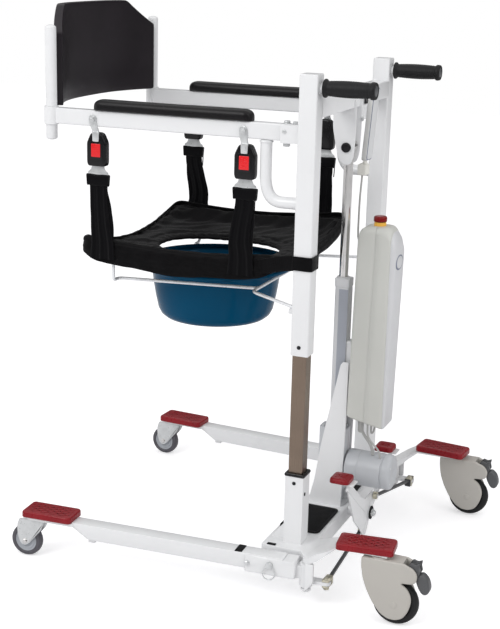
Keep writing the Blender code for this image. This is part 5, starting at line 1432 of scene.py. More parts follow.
    def skirt(self) -> Shape:
        """The skirt: it rolls over the rim on a quarter circle and hangs down. Its foot and folds lean out by
        small uneven sines."""
        a = self.angles(460)
        outer, inner = self.edges(a)
        rim = self.rim(outer)
        side = np.abs(outer[:, 1]) / self.half_width
        end = np.clip(np.abs(outer[:, 0] - self.x) / self.half_length, 0, 1)
        deep = 17 + 36 * side**6 * (1 - 0.5 * end**5) + 2.5 * np.sin(a * 9)
        inward = inner - outer
        inward /= lengths(inward)
        roll = 11.0
        turn = quarter(8)
        t = np.linspace(0, 1, 13)[1:]
        shy = np.concatenate([roll * (1 - np.sin(turn)), 0 * t, 0 * t + 3.2, roll * (1 - np.sin(turn[::-1])) + 2.6])
        hang = np.concatenate([0 * turn, t, t[::-1], 0 * turn])
        over = np.concatenate([roll * np.cos(turn), 0 * t, 0 * t, roll * np.cos(turn[::-1]) - 2.6])
        inside = np.concatenate([0 * turn, 0 * t, 0 * t + 1, 0 * turn + 1])
        z = (rim + 2.5 - roll)[:, None] + over - (deep - roll + 2)[:, None] * hang
        spots = raised(np.broadcast_to(outer[:, None], (*z.shape, 2)), z)
        fold = waves(spots, 41, 46.0) * 2.2 * (0.3 + 0.7 * hang) + 2.0 * np.sin(math.pi * hang) ** 2
        fold += 1.0 * waves(spots * np.array([1, 1, 3.0]), 47, 30.0)
        hem = 1.2 * np.exp(-(((hang - 0.9) / 0.06) ** 2))
        way = (fold + hem) * (1 - 0.8 * inside) * np.minimum(1, deep / 30)[:, None] - shy
        spots[..., :2] -= inward[:, None] * way[..., None]
        spots[..., 2] += 1.0 * waves(spots, 53, 38.0) * (1 - hang)
        return surface(spots, True)

    def piping(self) -> Shape:
        """The corded seam inside the rim's roll."""
        outer, inner = self.edges(self.angles(360))
        path = raised(outer, self.rim(outer) - 1.5)
        inward = inner - outer
        path[:, :2] += inward / lengths(inward) * 11.0
        path[:, 2] += 2.5 + 0.8 * waves(path, 17, 40.0)
        return swept(path, circle(2.2, 12), (0, 0, 1), True)

    def hole_hem(self) -> Shape:
        """The folded edge round the opening."""
        a = full(260)
        path = raised(self.edges(a)[1], self.hole_z - 2.5)
        path[:, 2] += 0.4 * np.sin(a * 31 + 2 * waves(path, 3, 70.0))
        return swept(path, circle(4.2, 12), (0, 0, 1), True)

    def strap(self, low_x: float, high_x: float, layer: int) -> Shape:
        """One layer of a strap from below the rim to its fold at the buckle, with a slow sideways wave."""
        edge = 257.0 + (1.6 if layer == 0 else -1.6)
        low = 701.0 if layer == 0 else 715.0
        sway = 3.5 if layer == 0 else -3.0
        knots = [(low_x, edge, low), (low_x, edge + 0.6, 741), (low_x + sway, edge + 1.5, 775),
                 (low_x + (high_x - low_x) * 0.45 + sway, 255.2 - layer * 2.6, 815),
                 (low_x + (high_x - low_x) * 0.85, 254.4 - layer * 2.2, 850), (high_x, 253.6 - layer * 1.6, 880)]
        path = bezier(knots, 90)
        wide = np.interp(path[:, 2], [701, 745, 800, 880], [1.26, 1.10, 0.93, 0.88])
        pleat = np.interp(path[:, 2], [701, 760, 840, 880], [2.4, 1.9, 1.0, 0.3])
        across = np.linspace(-24, 24, 33)
        wave = 0.55 * np.sin(across * 0.33 + 0.8 + layer) + 0.25 * np.sin(across * 0.71)
        section = np.concatenate([np.stack([across, wave - 0.8], axis=-1),
                                  np.stack([across, wave + 0.8], axis=-1)[::-1]])
        return swept(path, section, (1, 0, 0), False, np.stack([wide, pleat], axis=-1), self.strap_width)

    def fold(self, x: float) -> Shape:
        """The strap's end folded round the latch tongue and stitched: an oblong loop as wide as the strap."""
        section = oblong(4.6, 13.0, 4.4, 6)
        path = np.stack([np.linspace(x - 27, x + 27, 25), np.full(25, 253.0), np.full(25, 877.5)], axis=-1)
        path[:, 2] += 0.5 * np.sin(np.linspace(0, 9, 25))
        loop = swept(path, section, (0, 1, 0), unit=self.strap_width)
        end = [(x - 25, 257.2, 872), (x - 24.4, 257.6, 856), (x - 24, 256.6, 842)]
        tail = swept(bezier(end, 14), oblong(1.2, 1.2, 0.9, 3), (1, 0, 0), unit=self.strap_width)
        return joined(loop, tail)

    def tongue(self, x: float) -> Shape:
        """The steel tongue: narrow inside the buckle and widening in round shoulders down to the fold."""
        outline = [(-15, 926), (-15, 908), (-18, 900), (-25, 896), (-26, 885), (26, 885), (25, 896), (18, 900),
                   (15, 908), (15, 926)]
        return prism(filleted(outline, 4, 4) + [x, 0], 251.8, 254.2, Plane.XZ, 0.6, 2)

    def band(self) -> Shape:
        """The band round the left mast and its two tails to the seat's corner."""
        loop = oblong(21.9, 21.9, 4.5)
        rise = np.concatenate([np.linspace(-15, 15, 9), np.linspace(15, -15, 9)])
        wall = np.concatenate([np.full(9, 1.5), np.full(9, -1.3)]) + 0.35 * np.sin(np.arange(len(loop)) * 1.9)[:, None]
        way = loop / lengths(loop)
        spots = loop[:, None] + way[:, None] * wall[..., None] + [0, MAST_Y]
        parts = [surface(raised(spots, self.band_z + rise), True)]
        for offset, up in ((0.4, 0.0), (-3.0, -2.5)):
            knots = [(21, 268.5 + offset, self.band_z + up), (46, 263 + offset, 739 + up),
                     (76, 257.5 + offset, 731 + up), (104, 254.5 + offset, 722 + up)]
            parts.append(swept(bezier(knots, 30), oblong(1.3, 15.5, 1.0, 3), (0, 1, 0)))
        return joined(*parts)

    def build(self, shop: Workshop) -> None:
        """Makes the cloth with its simulation, then its trimmings, straps, tongues and bands."""
        cloth = shop.mesh("seat_cloth", self.pad(), CLOTH, 180)
        self.puff(cloth)
        self.quilt(cloth.data)
        cloth.data.materials.clear()
        cloth.data.materials.append(CLOTH.material())
        fine = cloth.modifiers.new("softer", "SUBSURF")
        fine.levels = fine.render_levels = 1
        shop.place(cloth, "lift", CLOTH.slot, "sling")
        shop.piece("seat_skirt", joined(self.skirt(), self.piping(), self.hole_hem()), CLOTH, "lift", smooth=60)
        straps, folds, tongues = [], [], []
        for side in Side:
            for low_x, high_x in self.strap_x:
                straps += [self.strap(low_x, high_x, layer).flipped(side) for layer in (0, 1)]
                folds.append(self.fold(high_x).flipped(side))
                tongues.append(self.tongue(high_x).flipped(side))
        shop.piece("seat_straps", joined(*straps), STRAP, "lift", smooth=60)
        shop.piece("strap_folds", joined(*folds), STRAP, "lift", smooth=60)
        shop.piece("latch_tongues", joined(*tongues), ZINC, "lift")
        shop.piece("mast_band", self.band(), CLOTH, "lift", smooth=60)


@dataclass
class Pan:
    """The blue pan and its wire carrier."""

    x: float = 312.0
    low: float = 526.3
    rim: float = 654.8
    wire: float = 3.7
    wire_z: float = 648.0

    def bowl(self) -> Shape:
        """The pan's wall turned about its axis: outside up to the rolled rim, and back down inside."""
        low, rim = self.low, self.rim
        outside = [(0.001, low + 2.5), (60, low + 2.2), (72, low), (84, low + 0.8), (108, low + 4), (122, low + 7.5),
                   (131, low + 15), (137, low + 27), (144, low + 59), (149, low + 89), (153, rim - 3),
                   (154.5, rim - 0.5), (158, rim + 0.2), (179, rim + 0.2), (182, rim + 0.9), (183.8, rim + 3),
                   (184, rim + 7.5), (183.2, rim + 9.6), (181.6, rim + 10.4), (180.2, rim + 9.4), (179.8, rim + 6)]
        inside = [(178.2, rim + 4), (175, rim + 3.3), (156.4, rim + 3.2), (152, rim + 1.8), (150, rim - 4),
                  (146, low + 89), (141, low + 59), (134, low + 28), (128, low + 18), (119, low + 11),
                  (106, low + 7.2), (84, low + 4.2), (60, low + 4.8), (0.001, low + 5)]
        return turned([*outside, *inside], (self.x, 0, 0), (0, 0, 1), 144, False)

    def carrier(self) -> Shape:
        """The bent wires: the rear hoop with its hooks, and the two side wires up to the seat's front corners."""
        z = self.wire_z
        section = circle(self.wire, 14)
        hoop = filleted([(25, 243, 641), (145, 183, z), (145, -120, z), (143, -185, z + 9), (25, -243, 654)], 18, 10,
                        False)
        parts = [swept(hoop, section)]
        for s in (1, -1):
            route = filleted([(145, s * 149, z), (466, s * 207, z), (463, s * 236, z), (463, s * 236, 711)], 14, 8,
                             False)
            parts.append(swept(route, section))
            parts.append(weld((146.5, s * 149.3, z), (0.984, s * 0.178, 0), 3.2, 1.1))
        return joined(*parts)

    def build(self, shop: Workshop) -> None:
        """Makes the pan and the carrier."""
        shop.piece("pan_bowl", self.bowl(), PAN_BLUE, "pan", "pan", smooth=50)
        shop.piece("carrier_wires", self.carrier(), WIRE, "lift", "pan_carrier", smooth=60)


@dataclass
class Drive:
    """The lifting actuator: gear case, motor, outer tube with its cap, and the bright rod."""

    x: float = SCREW_X
    motor_z: float = 205.0

    def build(self, shop: Workshop) -> None:
        """Makes the case with its tube and motor, the tube's cap and the rod with its eye."""
        x = self.x
        tube = block((x - 19, x + 14.5), (-16, 16), (280, 657), 1.2, 5)
        ribs = [block((x - 19.4, x - 18), (a, a + 2.2), (300, 634), 0.4, 0.6) for a in (-9, 6.8)]
        gear = prism(oblong(33.5, 25.2, 14) + [-0.5, 0], 150, 300, Plane.XY, 3.0)
        foot = block((-22, 20), (-18, 18), (109.3, 155), 1.0, 3)
        neck = rod((-26, 0, self.motor_z), (-42, 0, self.motor_z), 23)
        profile = [(0.001, 0), (37, 0), (40.5, 1.2), (42, 4.5), (42, 30), (41.2, 30.8), (41.2, 32.2), (42, 33),
                   (42, 86), (40, 87.2), (40, 89.4), (42, 90.6), (42, 100), (41, 104.5), (38, 108), (33, 110),
                   (12, 110), (10, 109), (0.001, 109)]
        motor = turned(profile, (-38, 0, self.motor_z), (-1, 0, 0), 80, False)
        shop.piece("actuator_case", joined(gear, foot, neck, motor), MOTOR_GREY, "base", "actuator_body")
        shop.piece("actuator_tube", joined(tube, *ribs), CASE_LIGHT, "base")
        # Dark strips laid on the tube's two sides: painted shade of a groove, not cut into the faces.
        grooves = [block((x - 18, x + 4), tuple(sorted((s * 15, s * 16.2))), (303, 634), 0.15, 0.5) for s in (1, -1)]
        shop.piece("actuator_grooves", joined(*grooves), GROOVE_SHADE, "base")
        bolts = []
        for a, b in ((1, 1), (1, -1), (-1, 1), (-1, -1)):
            bolts.append(rod((x + 4.5 + a * 24, b * 15, 299), (x + 4.5 + a * 24, b * 15, 302.5), 3.2, 0.8, 20))
        for a in np.radians([35, 145, 215, 325]):
            y, z = 33 * math.cos(a), self.motor_z + 33 * math.sin(a)
            bolts.append(rod((-145, y, z), (-148.4, y, z), 2.6, 0.6, 16))
        shop.piece("actuator_bolts", joined(*bolts), ZINC, "base")
        cap = prism(oblong(17.9, 16.9, 4.5) + [x - 2.2, 0], 639, 658.5, Plane.XY, 1.4)
        lip = turned([(11.2, 654), (15.5, 654), (15.5, 660), (14, 661), (11.2, 661)], (x, 0, 0), (0, 0, 1), 40)
        shop.piece("actuator_cap", joined(cap, lip), CASE_LIGHT, "base")
        stem = turned([(0.001, 560), (10.5, 560), (10.5, 948), (0.001, 948)], (x, 0, 0), (0, 0, 1), 48, False)
        eye = turned(mirrored([(6.4, -15), (14.6, -15), (16, -13.6)]), (x, 0, 958), (0, 1, 0), 48)
        shop.piece("actuator_stem", joined(stem, eye), BRIGHT, "lift", "actuator_rod")


@dataclass
class ControlBox:
    """The battery and control case of two beige shells and a pale rear cover, its stop button and its sockets."""

    body: float = 85.5
    depth: float = 90.5
    seam: float = 41.0
    half: float = 37.0
    stop_x: float = -85.5
    stop_z: float = 797.0

    @staticmethod
    def arch(half: float, low: float, high: float, foot: float, crown: float) -> Array:
        """A slice of the case in YZ: an oblong with small round corners below and large ones above."""
        return np.concatenate([[y, z] + r * ways(np.radians(start + np.linspace(0, 90, 9))) for y, z, r, start in (
            (half - crown, high - crown, crown, 0), (crown - half, high - crown, crown, 90),
            (foot - half, low + foot, foot, 180), (half - foot, low + foot, foot, 270))])

    def shell(self, first: float, last: float, tuck: float = 0.0) -> Shape:
        """A part of the case between two depths. At depth d its slice is an arch whose top follows the case's
        back edge, and the whole case leans back with height.

        Args:
            first: where it starts, from the case's front.
            last: where it ends.
            tuck: how much narrower it is than the case.

        Returns:
            The closed solid.
        """
        deep = np.array([0, 2, 5, 10, 20, 40, 58, 66, 72, 77, 81, 85.5, 88.5, 90.5])
        crest = np.array([768, 775, 780, 783.5, 786, 787, 787, 786, 784.4, 782.6, 780.8, 778, 767, 750])
        narrow = np.array([3.0, 1.2, 0.3, 0, 0, 0, 0, 0, 0, 0, 0, 0.6, 2.0, 5.0])
        crown = np.array([16, 15, 15, 15, 15, 16, 18, 20, 22, 24, 26, 28, 30, 30])
        inner = deep[(deep > first + 0.6) & (deep < last - 0.6)]
        d = np.concatenate([[first, first + 0.6], inner, [last - 0.6, last]])
        rim = np.where(((d == first) & (first > 0)) | ((d == last) & (last < self.depth)), 0.6, 0.0)
        shy = np.interp(d, deep, narrow) + tuck + rim
        top = np.interp(d, deep, crest) - tuck - rim
        low = 337 - d * 18 / 83 + shy
        rings = []
        swing = np.interp(d, [0, 66, self.body, self.depth], [0, 0, 9, 0])
        for depth, away, high, base, corner, shift in zip(d, shy, top, low, np.interp(d, deep, crown), swing):
            ring = self.arch(self.half - away, base, high, 5.5, corner)
            x = -38 - depth + shift * np.clip((ring[:, 1] - 540) / 150, 0, 1) - (ring[:, 1] - 342) * 7.4 / 400
            rings.append(np.stack([x, ring[:, 0], ring[:, 1]], axis=-1))
        return surface(np.array(rings))

    def build(self, shop: Workshop) -> None:
        """Makes the case, its bracket, seam, plain oval, sockets and the stop button."""
        mount = block((-60, -21), (-12, 12), (452, 512), 1.0, 2.0)
        shells = joined(self.shell(0, self.seam - 0.35), self.shell(self.seam + 0.35, self.body))
        shop.piece("control_case", shells, CASE_BEIGE, "base", "control_box", smooth=50)
        shop.piece("control_cover", self.shell(self.body + 0.3, self.depth), CASE_LIGHT, "base", smooth=50)
        core = joined(self.shell(self.seam - 1.5, self.seam + 1.5, 0.9),
                      self.shell(self.body - 1.5, self.body + 1.5, 0.9))
        shop.piece("control_seams", core, HANDSET_DARK, "base")
        shop.piece("control_bracket", mount, PAINT, "base")
        # The rim ring shows dark all round the pale oval: a rim line, partly painted shade of the raised oval's edge.
        for name, size, rise, finish in (("rim", 1.0, 1.6, LINE_TEAL), ("oval", 0.80, 2.4, CASE_LIGHT)):
            profile = [(0.001, -2), (17.5 * size, -2), (17.5 * size, rise - 0.7), (16.6 * size, rise),
                       (0.001, rise + 0.4)]
            oval = turned(profile, (0, 0, 0), (-1, 0, 0), 64, False)
            oval.points[:, 1] *= 1.55
            lean = Matrix.Rotation(math.radians(1.5), 4, "Y")
            shop.piece(f"control_{name}", oval.moved(Matrix.Translation(Vector((-134.6, 4.5, 709))) @ lean), finish,
                       "base", smooth=60)
        glands = [rod((x, y, z), (x, y, z + 12), radius, 1.5) for x, y, z, radius in (
            (-66, 8, 322, 9), (-82, -22, 322, 6.5), (-100, -4, 320, 8), (-84, 16, 321, 5.5))]
        shop.piece("control_glands", joined(*glands), CORD_GREY, "base")
        ring = turned([(6.4, 776), (13.6, 776), (13.6, 793), (12.8, 795), (6.4, 795)], (self.stop_x, 0, 0),
                      (0, 0, 1), 56)
        shop.piece("stop_collar", ring, YELLOW, "base")
        cap = self.stop_z
        profile = [(0.001, cap - 12), (6, cap - 12), (6, cap + 5), (14, cap + 5), (14, cap - 0.4), (15, cap - 0.2),
                   (15, cap + 7.5), (14, cap + 10.0), (11.5, cap + 11.2), (7.5, cap + 11.6), (0.001, cap + 11.6)]
        button = turned(profile, (0, 0, 0), (0, 0, 1), 72, False)
        x, y, _ = button.points.T
        dent = np.where(np.hypot(x, y) > 14.5, 1 - 0.03 * (0.5 + 0.5 * np.cos(np.arctan2(y, x) * 12)), 1.0)
        button.points[:, :2] *= dent[:, None]
        shop.piece("stop_cap", button.shifted(self.stop_x), STOP_RED, "stop_button", "stop_button", smooth=50)


@dataclass
class Handset:
    """The hand control on its hook, the block at its foot, and the two cords."""

    y: float = -68.0
    front: float = -18.5
    low: float = 920.0
    high: float = 1084.0
    lean: float = 0.072

    def cord(self, shop: Workshop, name: str, knots: list[tuple], radius: float, bend: float, node: str,
             moving: bool) -> None:
        """A cord along rounded knots. Its points stand closer where it bends.

        Args:
            shop: the workshop.
            name: the piece's name.
            knots: the route's corners, the exit first.
            radius: the cord's radius.
            bend: how far from a corner its curve starts.
            node: the node that it stands for.
            moving: whether it reaches from the base to the lift.
        """
        path = filleted(knots, bend, 9, False)
        step = np.linalg.norm(np.diff(path, axis=0), axis=1)
        way = np.diff(path, axis=0) / step[:, None]
        turn = np.arccos(np.clip((way[1:] * way[:-1]).sum(axis=1), -1, 1))
        bent = np.concatenate([[0], turn]) + np.concatenate([turn, [0]])
        run = np.concatenate([[0], np.cumsum(step + 30 * bent)])
        even = np.linspace(0, run[-1], 38)
        path = np.stack([np.interp(even, run, path[:, i]) for i in range(3)], axis=-1)
        made = shop.piece(name, swept(path, circle(radius, 14)), CORD_GREY, "" if moving else "base", node, smooth=60)
        if moving:
            x, y = path[0][:2] * MM
            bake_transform(made, "base", "lift", (x, y, 0.34), (x, y, 0.88))

    def build(self, shop: Workshop) -> None:
        """Makes the handset of two shells, its block and the cords."""
        y, wide = self.y, 22.0
        shift = (self.high - self.low) * self.lean

        def slab(x0: float, x1: float, half: float, low: float, high: float, edge: float) -> Shape:
            """A part of the leaning handset between two depths behind its front."""
            made = block((x0, x1), (y - half, y + half), (low, high), edge, 9, Plane.YZ)
            made.points[:, 0] -= (made.points[:, 2] - self.low) * shift / (self.high - self.low)
            return made

        body = slab(self.front - 12.5, self.front, wide, self.low, self.high, 2.4)
        line = slab(self.front - 13.1, self.front - 8, wide - 1.0, self.low + 1, self.high - 1, 0.4)
        face = slab(self.front - 13.9, self.front - 8, wide - 3.0, self.low + 3, self.high - 3, 0.8)
        shop.piece("handset_body", body, HANDSET_DARK, "lift", "handset", smooth=50)
        shop.piece("handset_line", line, LINE_TEAL, "lift")
        shop.piece("handset_face", face, HANDSET_GREY, "lift", smooth=50)
        block_shape = block((-30, -8), (y - 14, y + 14), (886, 911), 3.0, 5.0)
        neck = turned([(4.0, 909), (6.4, 909), (6.4, 913), (4.6, 917), (5.4, 921), (4.0, 924)], (-22, y, 0), (0, 0, 1),
                      32)
        shop.piece("cord_block", joined(block_shape, neck), BLOCK_BEIGE, "lift", smooth=50)
        self.cord(shop, "handset_lead", [(-19, -61, 885.7), (-16, -60, 830), (-17, -55, 742), (-56, -40.7, 650),
                                         (-82, -40.7, 540), (-82, -42, 360), (-82, -51, 320), (-82, -51, 282),
                                         (-82, -22, 282), (-82, -22, 331.4)], 2.2, 14, "handset_cord", True)
        self.cord(shop, "sensor_lead", [(-86, 22, 326.2), (-88, 26, 292), (-118, 24, 262), (-119, 20, 242.1)], 2.2, 14,
                  "actuator_cable", False)
        self.cord(shop, "motor_lead", [(-66, 8, 331.5), (-68, 10, 300), (-96, 14, 268), (-100, 14, 246.1)], 3.5, 14,
                  "actuator_cable", False)
        plug = turned([(3.4, 296), (5.2, 296), (7, 301), (7, 321), (6, 325), (3.2, 325)], (-66, 8, 0), (0, 0, 1), 32)
        shop.piece("motor_lead_plug", plug, CORD_GREY, "base")


@dataclass
class CasterCovers:
    """The four red foot covers with their raised diamond tread, and the two pedal pads."""

    length: float = 125.0
    width: float = 67.0
    thick: float = 14.6
    corner: float = 9.5
    pitch: float = 15.0

    def tread(self, half: Array, top: float) -> Shape:
        """Two crossed families of ribs. A rib's middle line is x cos a + y sin a = k * pitch, cut to the cover's
        flat by moving along it until |x| or |y| reaches the edge."""
        ribs = []
        section = np.array([(-1.5, -0.6), (1.5, -0.6), (1.0, 0.45), (0.4, 0.75), (-0.4, 0.75), (-1.0, 0.45)])
        fade = np.array([0.25, 1, 1, 1, 1, 1, 0.25])[:, None] * [1, 1]
        for angle in (math.radians(58), math.radians(-58)):
            normal = ways(angle)
            along = np.array([-normal[1], normal[0]])
            count = int(sum(half) / self.pitch) + 1
            for k in range(-count, count + 1):
                middle = normal * k * self.pitch * 0.82
                back, ahead = (-half - middle) / along, (half - middle) / along
                near, far = np.max(np.minimum(back, ahead)), np.min(np.maximum(back, ahead))
                if far - near < 7:
                    continue
                t = np.linspace(near, far, 7)
                path = raised(middle + along * t[:, None], top)
                ribs.append(swept(path, section, (*normal, 0), False, fade))
        return joined(*ribs)

    @staticmethod
    def lid(outline: Array, low: float, sides: float, crown: float, step: float, shrink: float) -> Shape:
        """A moulded lid: its sides stand in by a small step, and its crown rounds over on a quarter ellipse.

        Args:
            outline: its plan.
            low: the height of its foot.
            sides: how high its sides are.
            crown: how much the crown rises above them.
            step: how far the sides stand in.
            shrink: how far the crown's flat stands in further.

        Returns:
            The closed solid.
        """
        a = quarter(6)
        rise = np.concatenate([[0, 0.6], sides + crown * np.sin(a)])
        back = np.concatenate([[1.4, step], step + shrink * (1 - np.cos(a))])
        return surface(np.array([raised(inset(outline, b), low + r) for r, b in zip(rise, back)]))

    def cover(self, x: float, low: float) -> Shape:
        """One cover with its tread, centred on x."""
        outline = oblong(self.length / 2, self.width / 2, self.corner, 10)
        body = self.lid(outline, low, self.thick - 5.5, 5.5, 0.4, 3.4)
        return joined(body, self.tread(np.array([self.length, self.width]) / 2 - 7.5, low + self.thick)).shifted(x)

    def build(self, shop: Workshop) -> None:
        """Makes the covers and the pedal pads."""
        for side in Side:
            turn = Matrix.Translation(Vector((-186, side.value * 317, 0))) @ Matrix.Rotation(side.value * 0.12, 4, "Z")
            rear = self.cover(0, 155.4).moved(turn)
            shop.piece(f"foot_cover_rear_{side.word}", rear, RED_COVER, "base", f"caster_cover_rear_{side.word}",
                       smooth=50)
            front = self.cover(616.5, 104.6).shifted(0, -3.5 * side.value).moved(leg_place(side))
            shop.piece(f"foot_cover_front_{side.word}", front, RED_COVER, f"leg_{side.word}",
                       f"caster_cover_front_{side.word}", smooth=50)
        for word, y, z in (("left", 167.0, 233.3), ("right", -174.0, 193.3)):
            ribs = [block((-12, 12), (k - 1, k + 1), (z + 11.4, z + 12.6), 0.5, 0.8) for k in (-9, -4.5, 0, 4.5, 9)]
            pad = joined(self.lid(oblong(23, 25, 10, 10), z, 7, 5, 0.3, 6), *ribs).shifted(-76, y)
            shop.piece(f"pedal_top_{word}", pad, RED_COVER, "rocker", f"pedal_pad_{word}", smooth=50)


@dataclass
class RearCasters:
    """The braked rear casters: a two-cheek shell, a black tyre and the brake pedal."""

    y: float = 324.0
    axle: Pair = (-258.5, 50.0)
    radius: float = 50.0
    shell: Outline = ((-183, 147.5), (-183, 126), (-187.5, 98), (-197, 72), (-211, 46), (-230, 23.5), (-247, 14.5),
                      (-265, 14.5), (-280, 22), (-289.5, 38), (-295, 56), (-295.5, 70), (-291, 83), (-283, 93.5),
                      (-270, 101), (-297, 103.6), (-304, 110), (-306, 121), (-303, 131), (-295, 139.5), (-284, 143),
                      (-276, 147.5))

    def bridge(self) -> Shape:
        """The shell between the cheeks: its front and top, cut away on a circle round the wheel."""
        a = np.radians(np.linspace(14, 104, 26))
        arc = np.array(self.axle) + 53.5 * ways(a)
        front = [(-204, 76), (-199, 100), (-193, 118), (-186, 147), (-273.6, 147)]
        outline = np.concatenate([arc[::-1], np.array(front)])
        return prism(outline, -14.5, 14.5, Plane.XZ, 0.3, 1)

    def wheel(self) -> Shape:
        """The wheel: a tyre with a rounded, lightly grooved tread on a dished hub."""
        half, r = 12.0, self.radius
        a = np.linspace(math.radians(8), math.radians(172), 25)
        crown = [(r - 8 + 8 * math.sin(t) ** 0.8, half * math.cos(t)) for t in a]
        face = [(5.4, half - 1), (14, half - 1), (16, half - 3), (34, half - 3), (36, half - 1)]
        return turned(mirrored(face, crown), (self.axle[0], 0, self.axle[1]), (0, 1, 0), 96)

    def pedal(self) -> Shape:
        """The brake pedal: a two-horned tab above, and a thick round-ended paddle that hangs behind."""
        tab = filleted([(-279, 133), (-281, 108), (-293, 105), (-303, 113), (-305, 120), (-310, 128), (-307, 139),
                        (-309, 150.2), (-299, 145.5), (-289, 149), (-283, 141)], 3.2, 4)
        low = filleted([(-302, 121), (-314, 126), (-326, 115), (-331, 100), (-331, 88), (-324, 80), (-315, 81),
                        (-307, 92), (-301, 106)], 6, 6)
        horns = [prism(tab, *sorted((s * 7.5, s * 13.4)), Plane.XZ, 1.6, 4) for s in (1, -1)]
        core = prism(filleted([(-280, 134), (-281, 108), (-293, 105), (-303, 113), (-308, 127), (-306, 136),
                               (-289, 143)], 3.5, 4), -8.4, 8.4, Plane.XZ, 1.0)
        ribs = [block((-306, -290), (-y - 1, 1 - y), (140, 146.5), 0.6, 1.0, Plane.XZ) for y in (-3.5, 3.5)]
        return joined(*horns, core, *ribs, prism(low, -12.2, 12.2, Plane.XZ, 5.0, 6))

    def build(self, shop: Workshop) -> None:
        """Makes both casters."""
        cheek = filleted(list(self.shell), 7, 4)
        for side in Side:
            y, word = side.value * self.y, side.word
            cheeks = [prism(cheek, low, low + 8.7, Plane.XZ, 4.2, 5) for low in (13.3, -22)]
            collar = turned([(5.9, 136), (20, 136), (21, 138), (21, 150.0), (5.9, 150.0)], (-220, 0, 0), (0, 0, 1), 48)
            stem = rod((-220, 0, 138), (-220, 0, 151), 5.5)
            shell = joined(*cheeks, self.bridge(), collar, stem).shifted(0, y)
            shop.piece(f"caster_shell_{word}", shell, WARM_GREY, f"rear_fork_{word}", f"rear_caster_fork_{word}")
            caps = [turned([(0.001, 0), (7.5, 0), (7.5, 0.9), (6.4, 1.5), (0.001, 1.6)],
                           (*self.axle[:1], s * 21.7, 50), (0, s, 0), 40, False) for s in (1, -1)]
            axle = rod((self.axle[0], -15, 50), (self.axle[0], 15, 50), 5)
            shop.piece(f"caster_axle_{word}", joined(*caps, axle).shifted(0, y), WARM_GREY, f"rear_fork_{word}")
            shop.piece(f"caster_tyre_{word}", self.wheel().shifted(0, y), TYRE, f"rear_wheel_{word}",
                       f"rear_caster_wheel_{word}")
            shop.piece(f"brake_paddle_{word}", self.pedal().shifted(0, y), BRAKE_GREY, f"brake_{word}",
                       f"rear_brake_pedal_{word}")


@dataclass
class FrontCasters:
    """The front casters: a pressed zinc fork with a ball race, a grey tyre on a pale hub, and the axle bolt."""

    pivot: float = 655.0
    axle: Pair = (678.0, 38.0)
    radius: float = 38.0

    def fork(self) -> Shape:
        """The fork: two pressed cheeks that narrow to the axle, the crown above and the race on it."""
        top = 93.5
        cheek = filleted([(627, top), (692, top), (698, 76), (697, 52), (691, 33), (683, 26.5), (675, 28),
                          (667.5, 34), (637, 70)], 5, 4)
        cheeks = [prism(cheek, low, low + 2.7, Plane.XZ, 0.9, 2) for low in (11.2, -13.9)]
        crown = prism(oblong(16.5, 13.6, 5) + [655.5, 0], 90.0, 93.6, Plane.XY, 0.8)
        race = turned([(5.4, 90), (13.6, 90), (16, 94), (16, 96.4), (5.4, 96.4)], (self.pivot, 0, 0), (0, 0, 1), 48)
        stem = rod((self.pivot, 0, 83), (self.pivot, 0, 96), 5)
        lips = [prism(filleted([(628, 90), (637, 70), (667, 34), (669, 36), (640, 72), (631, 90)], 1.5, 2),
                      *(sorted((s * 13.2, s * 14.6))), Plane.XZ, 0.5, 2) for s in (1, -1)]
        return joined(*cheeks, crown, race, stem, *lips)

    def build(self, shop: Workshop) -> None:
        """Makes both casters in their legs' axes."""
        x, z = self.axle
        half = 10.0
        r = self.radius
        a = np.linspace(math.radians(5), math.radians(175), 21)
        crown = [(r - 5 + 5 * math.sin(t) ** 0.7, half * math.cos(t)) for t in a]
        tyre = mirrored([(26.5, half - 1.2), (28, half)], crown)
        hub = mirrored([(4.4, half - 0.5), (9, half - 0.5), (10, half - 2.5), (15, half - 3), (16, half - 1.6),
                        (21, half - 1.6), (22, half - 2.6), (25.4, half - 2.2), (27.2, half - 1.0)])
        for side in Side:
            word, place = side.word, leg_place(side)
            shop.piece(f"zinc_fork_{word}", self.fork().moved(place), ZINC, f"front_fork_{word}",
                       f"front_caster_fork_{word}")
            bolt = [hexagon((x, s * 13.8, z), (x, s * 16.4, z), 5.4) for s in (1, -1)]
            bolt += [rod((x, -16, z), (x, 16, z), 4), rod((x, 13.6, z), (x, 14.4, z), 6.6, 0.3),
                     rod((x, -14.4, z), (x, -13.6, z), 6.6, 0.3)]
            shop.piece(f"axle_bolt_{word}", joined(*bolt).moved(place), BRIGHT, f"front_fork_{word}", slot="zinc")
            start = (x, 0, z)
            shop.piece(f"grey_tyre_{word}", turned(tyre, start, (0, 1, 0), 88).moved(place), GREY_TYRE,
                       f"front_wheel_{word}", f"front_caster_wheel_{word}")
            shop.piece(f"wheel_hub_{word}", turned(hub, start, (0, 1, 0), 72).moved(place), WHEEL_HUB,
                       f"front_wheel_{word}")


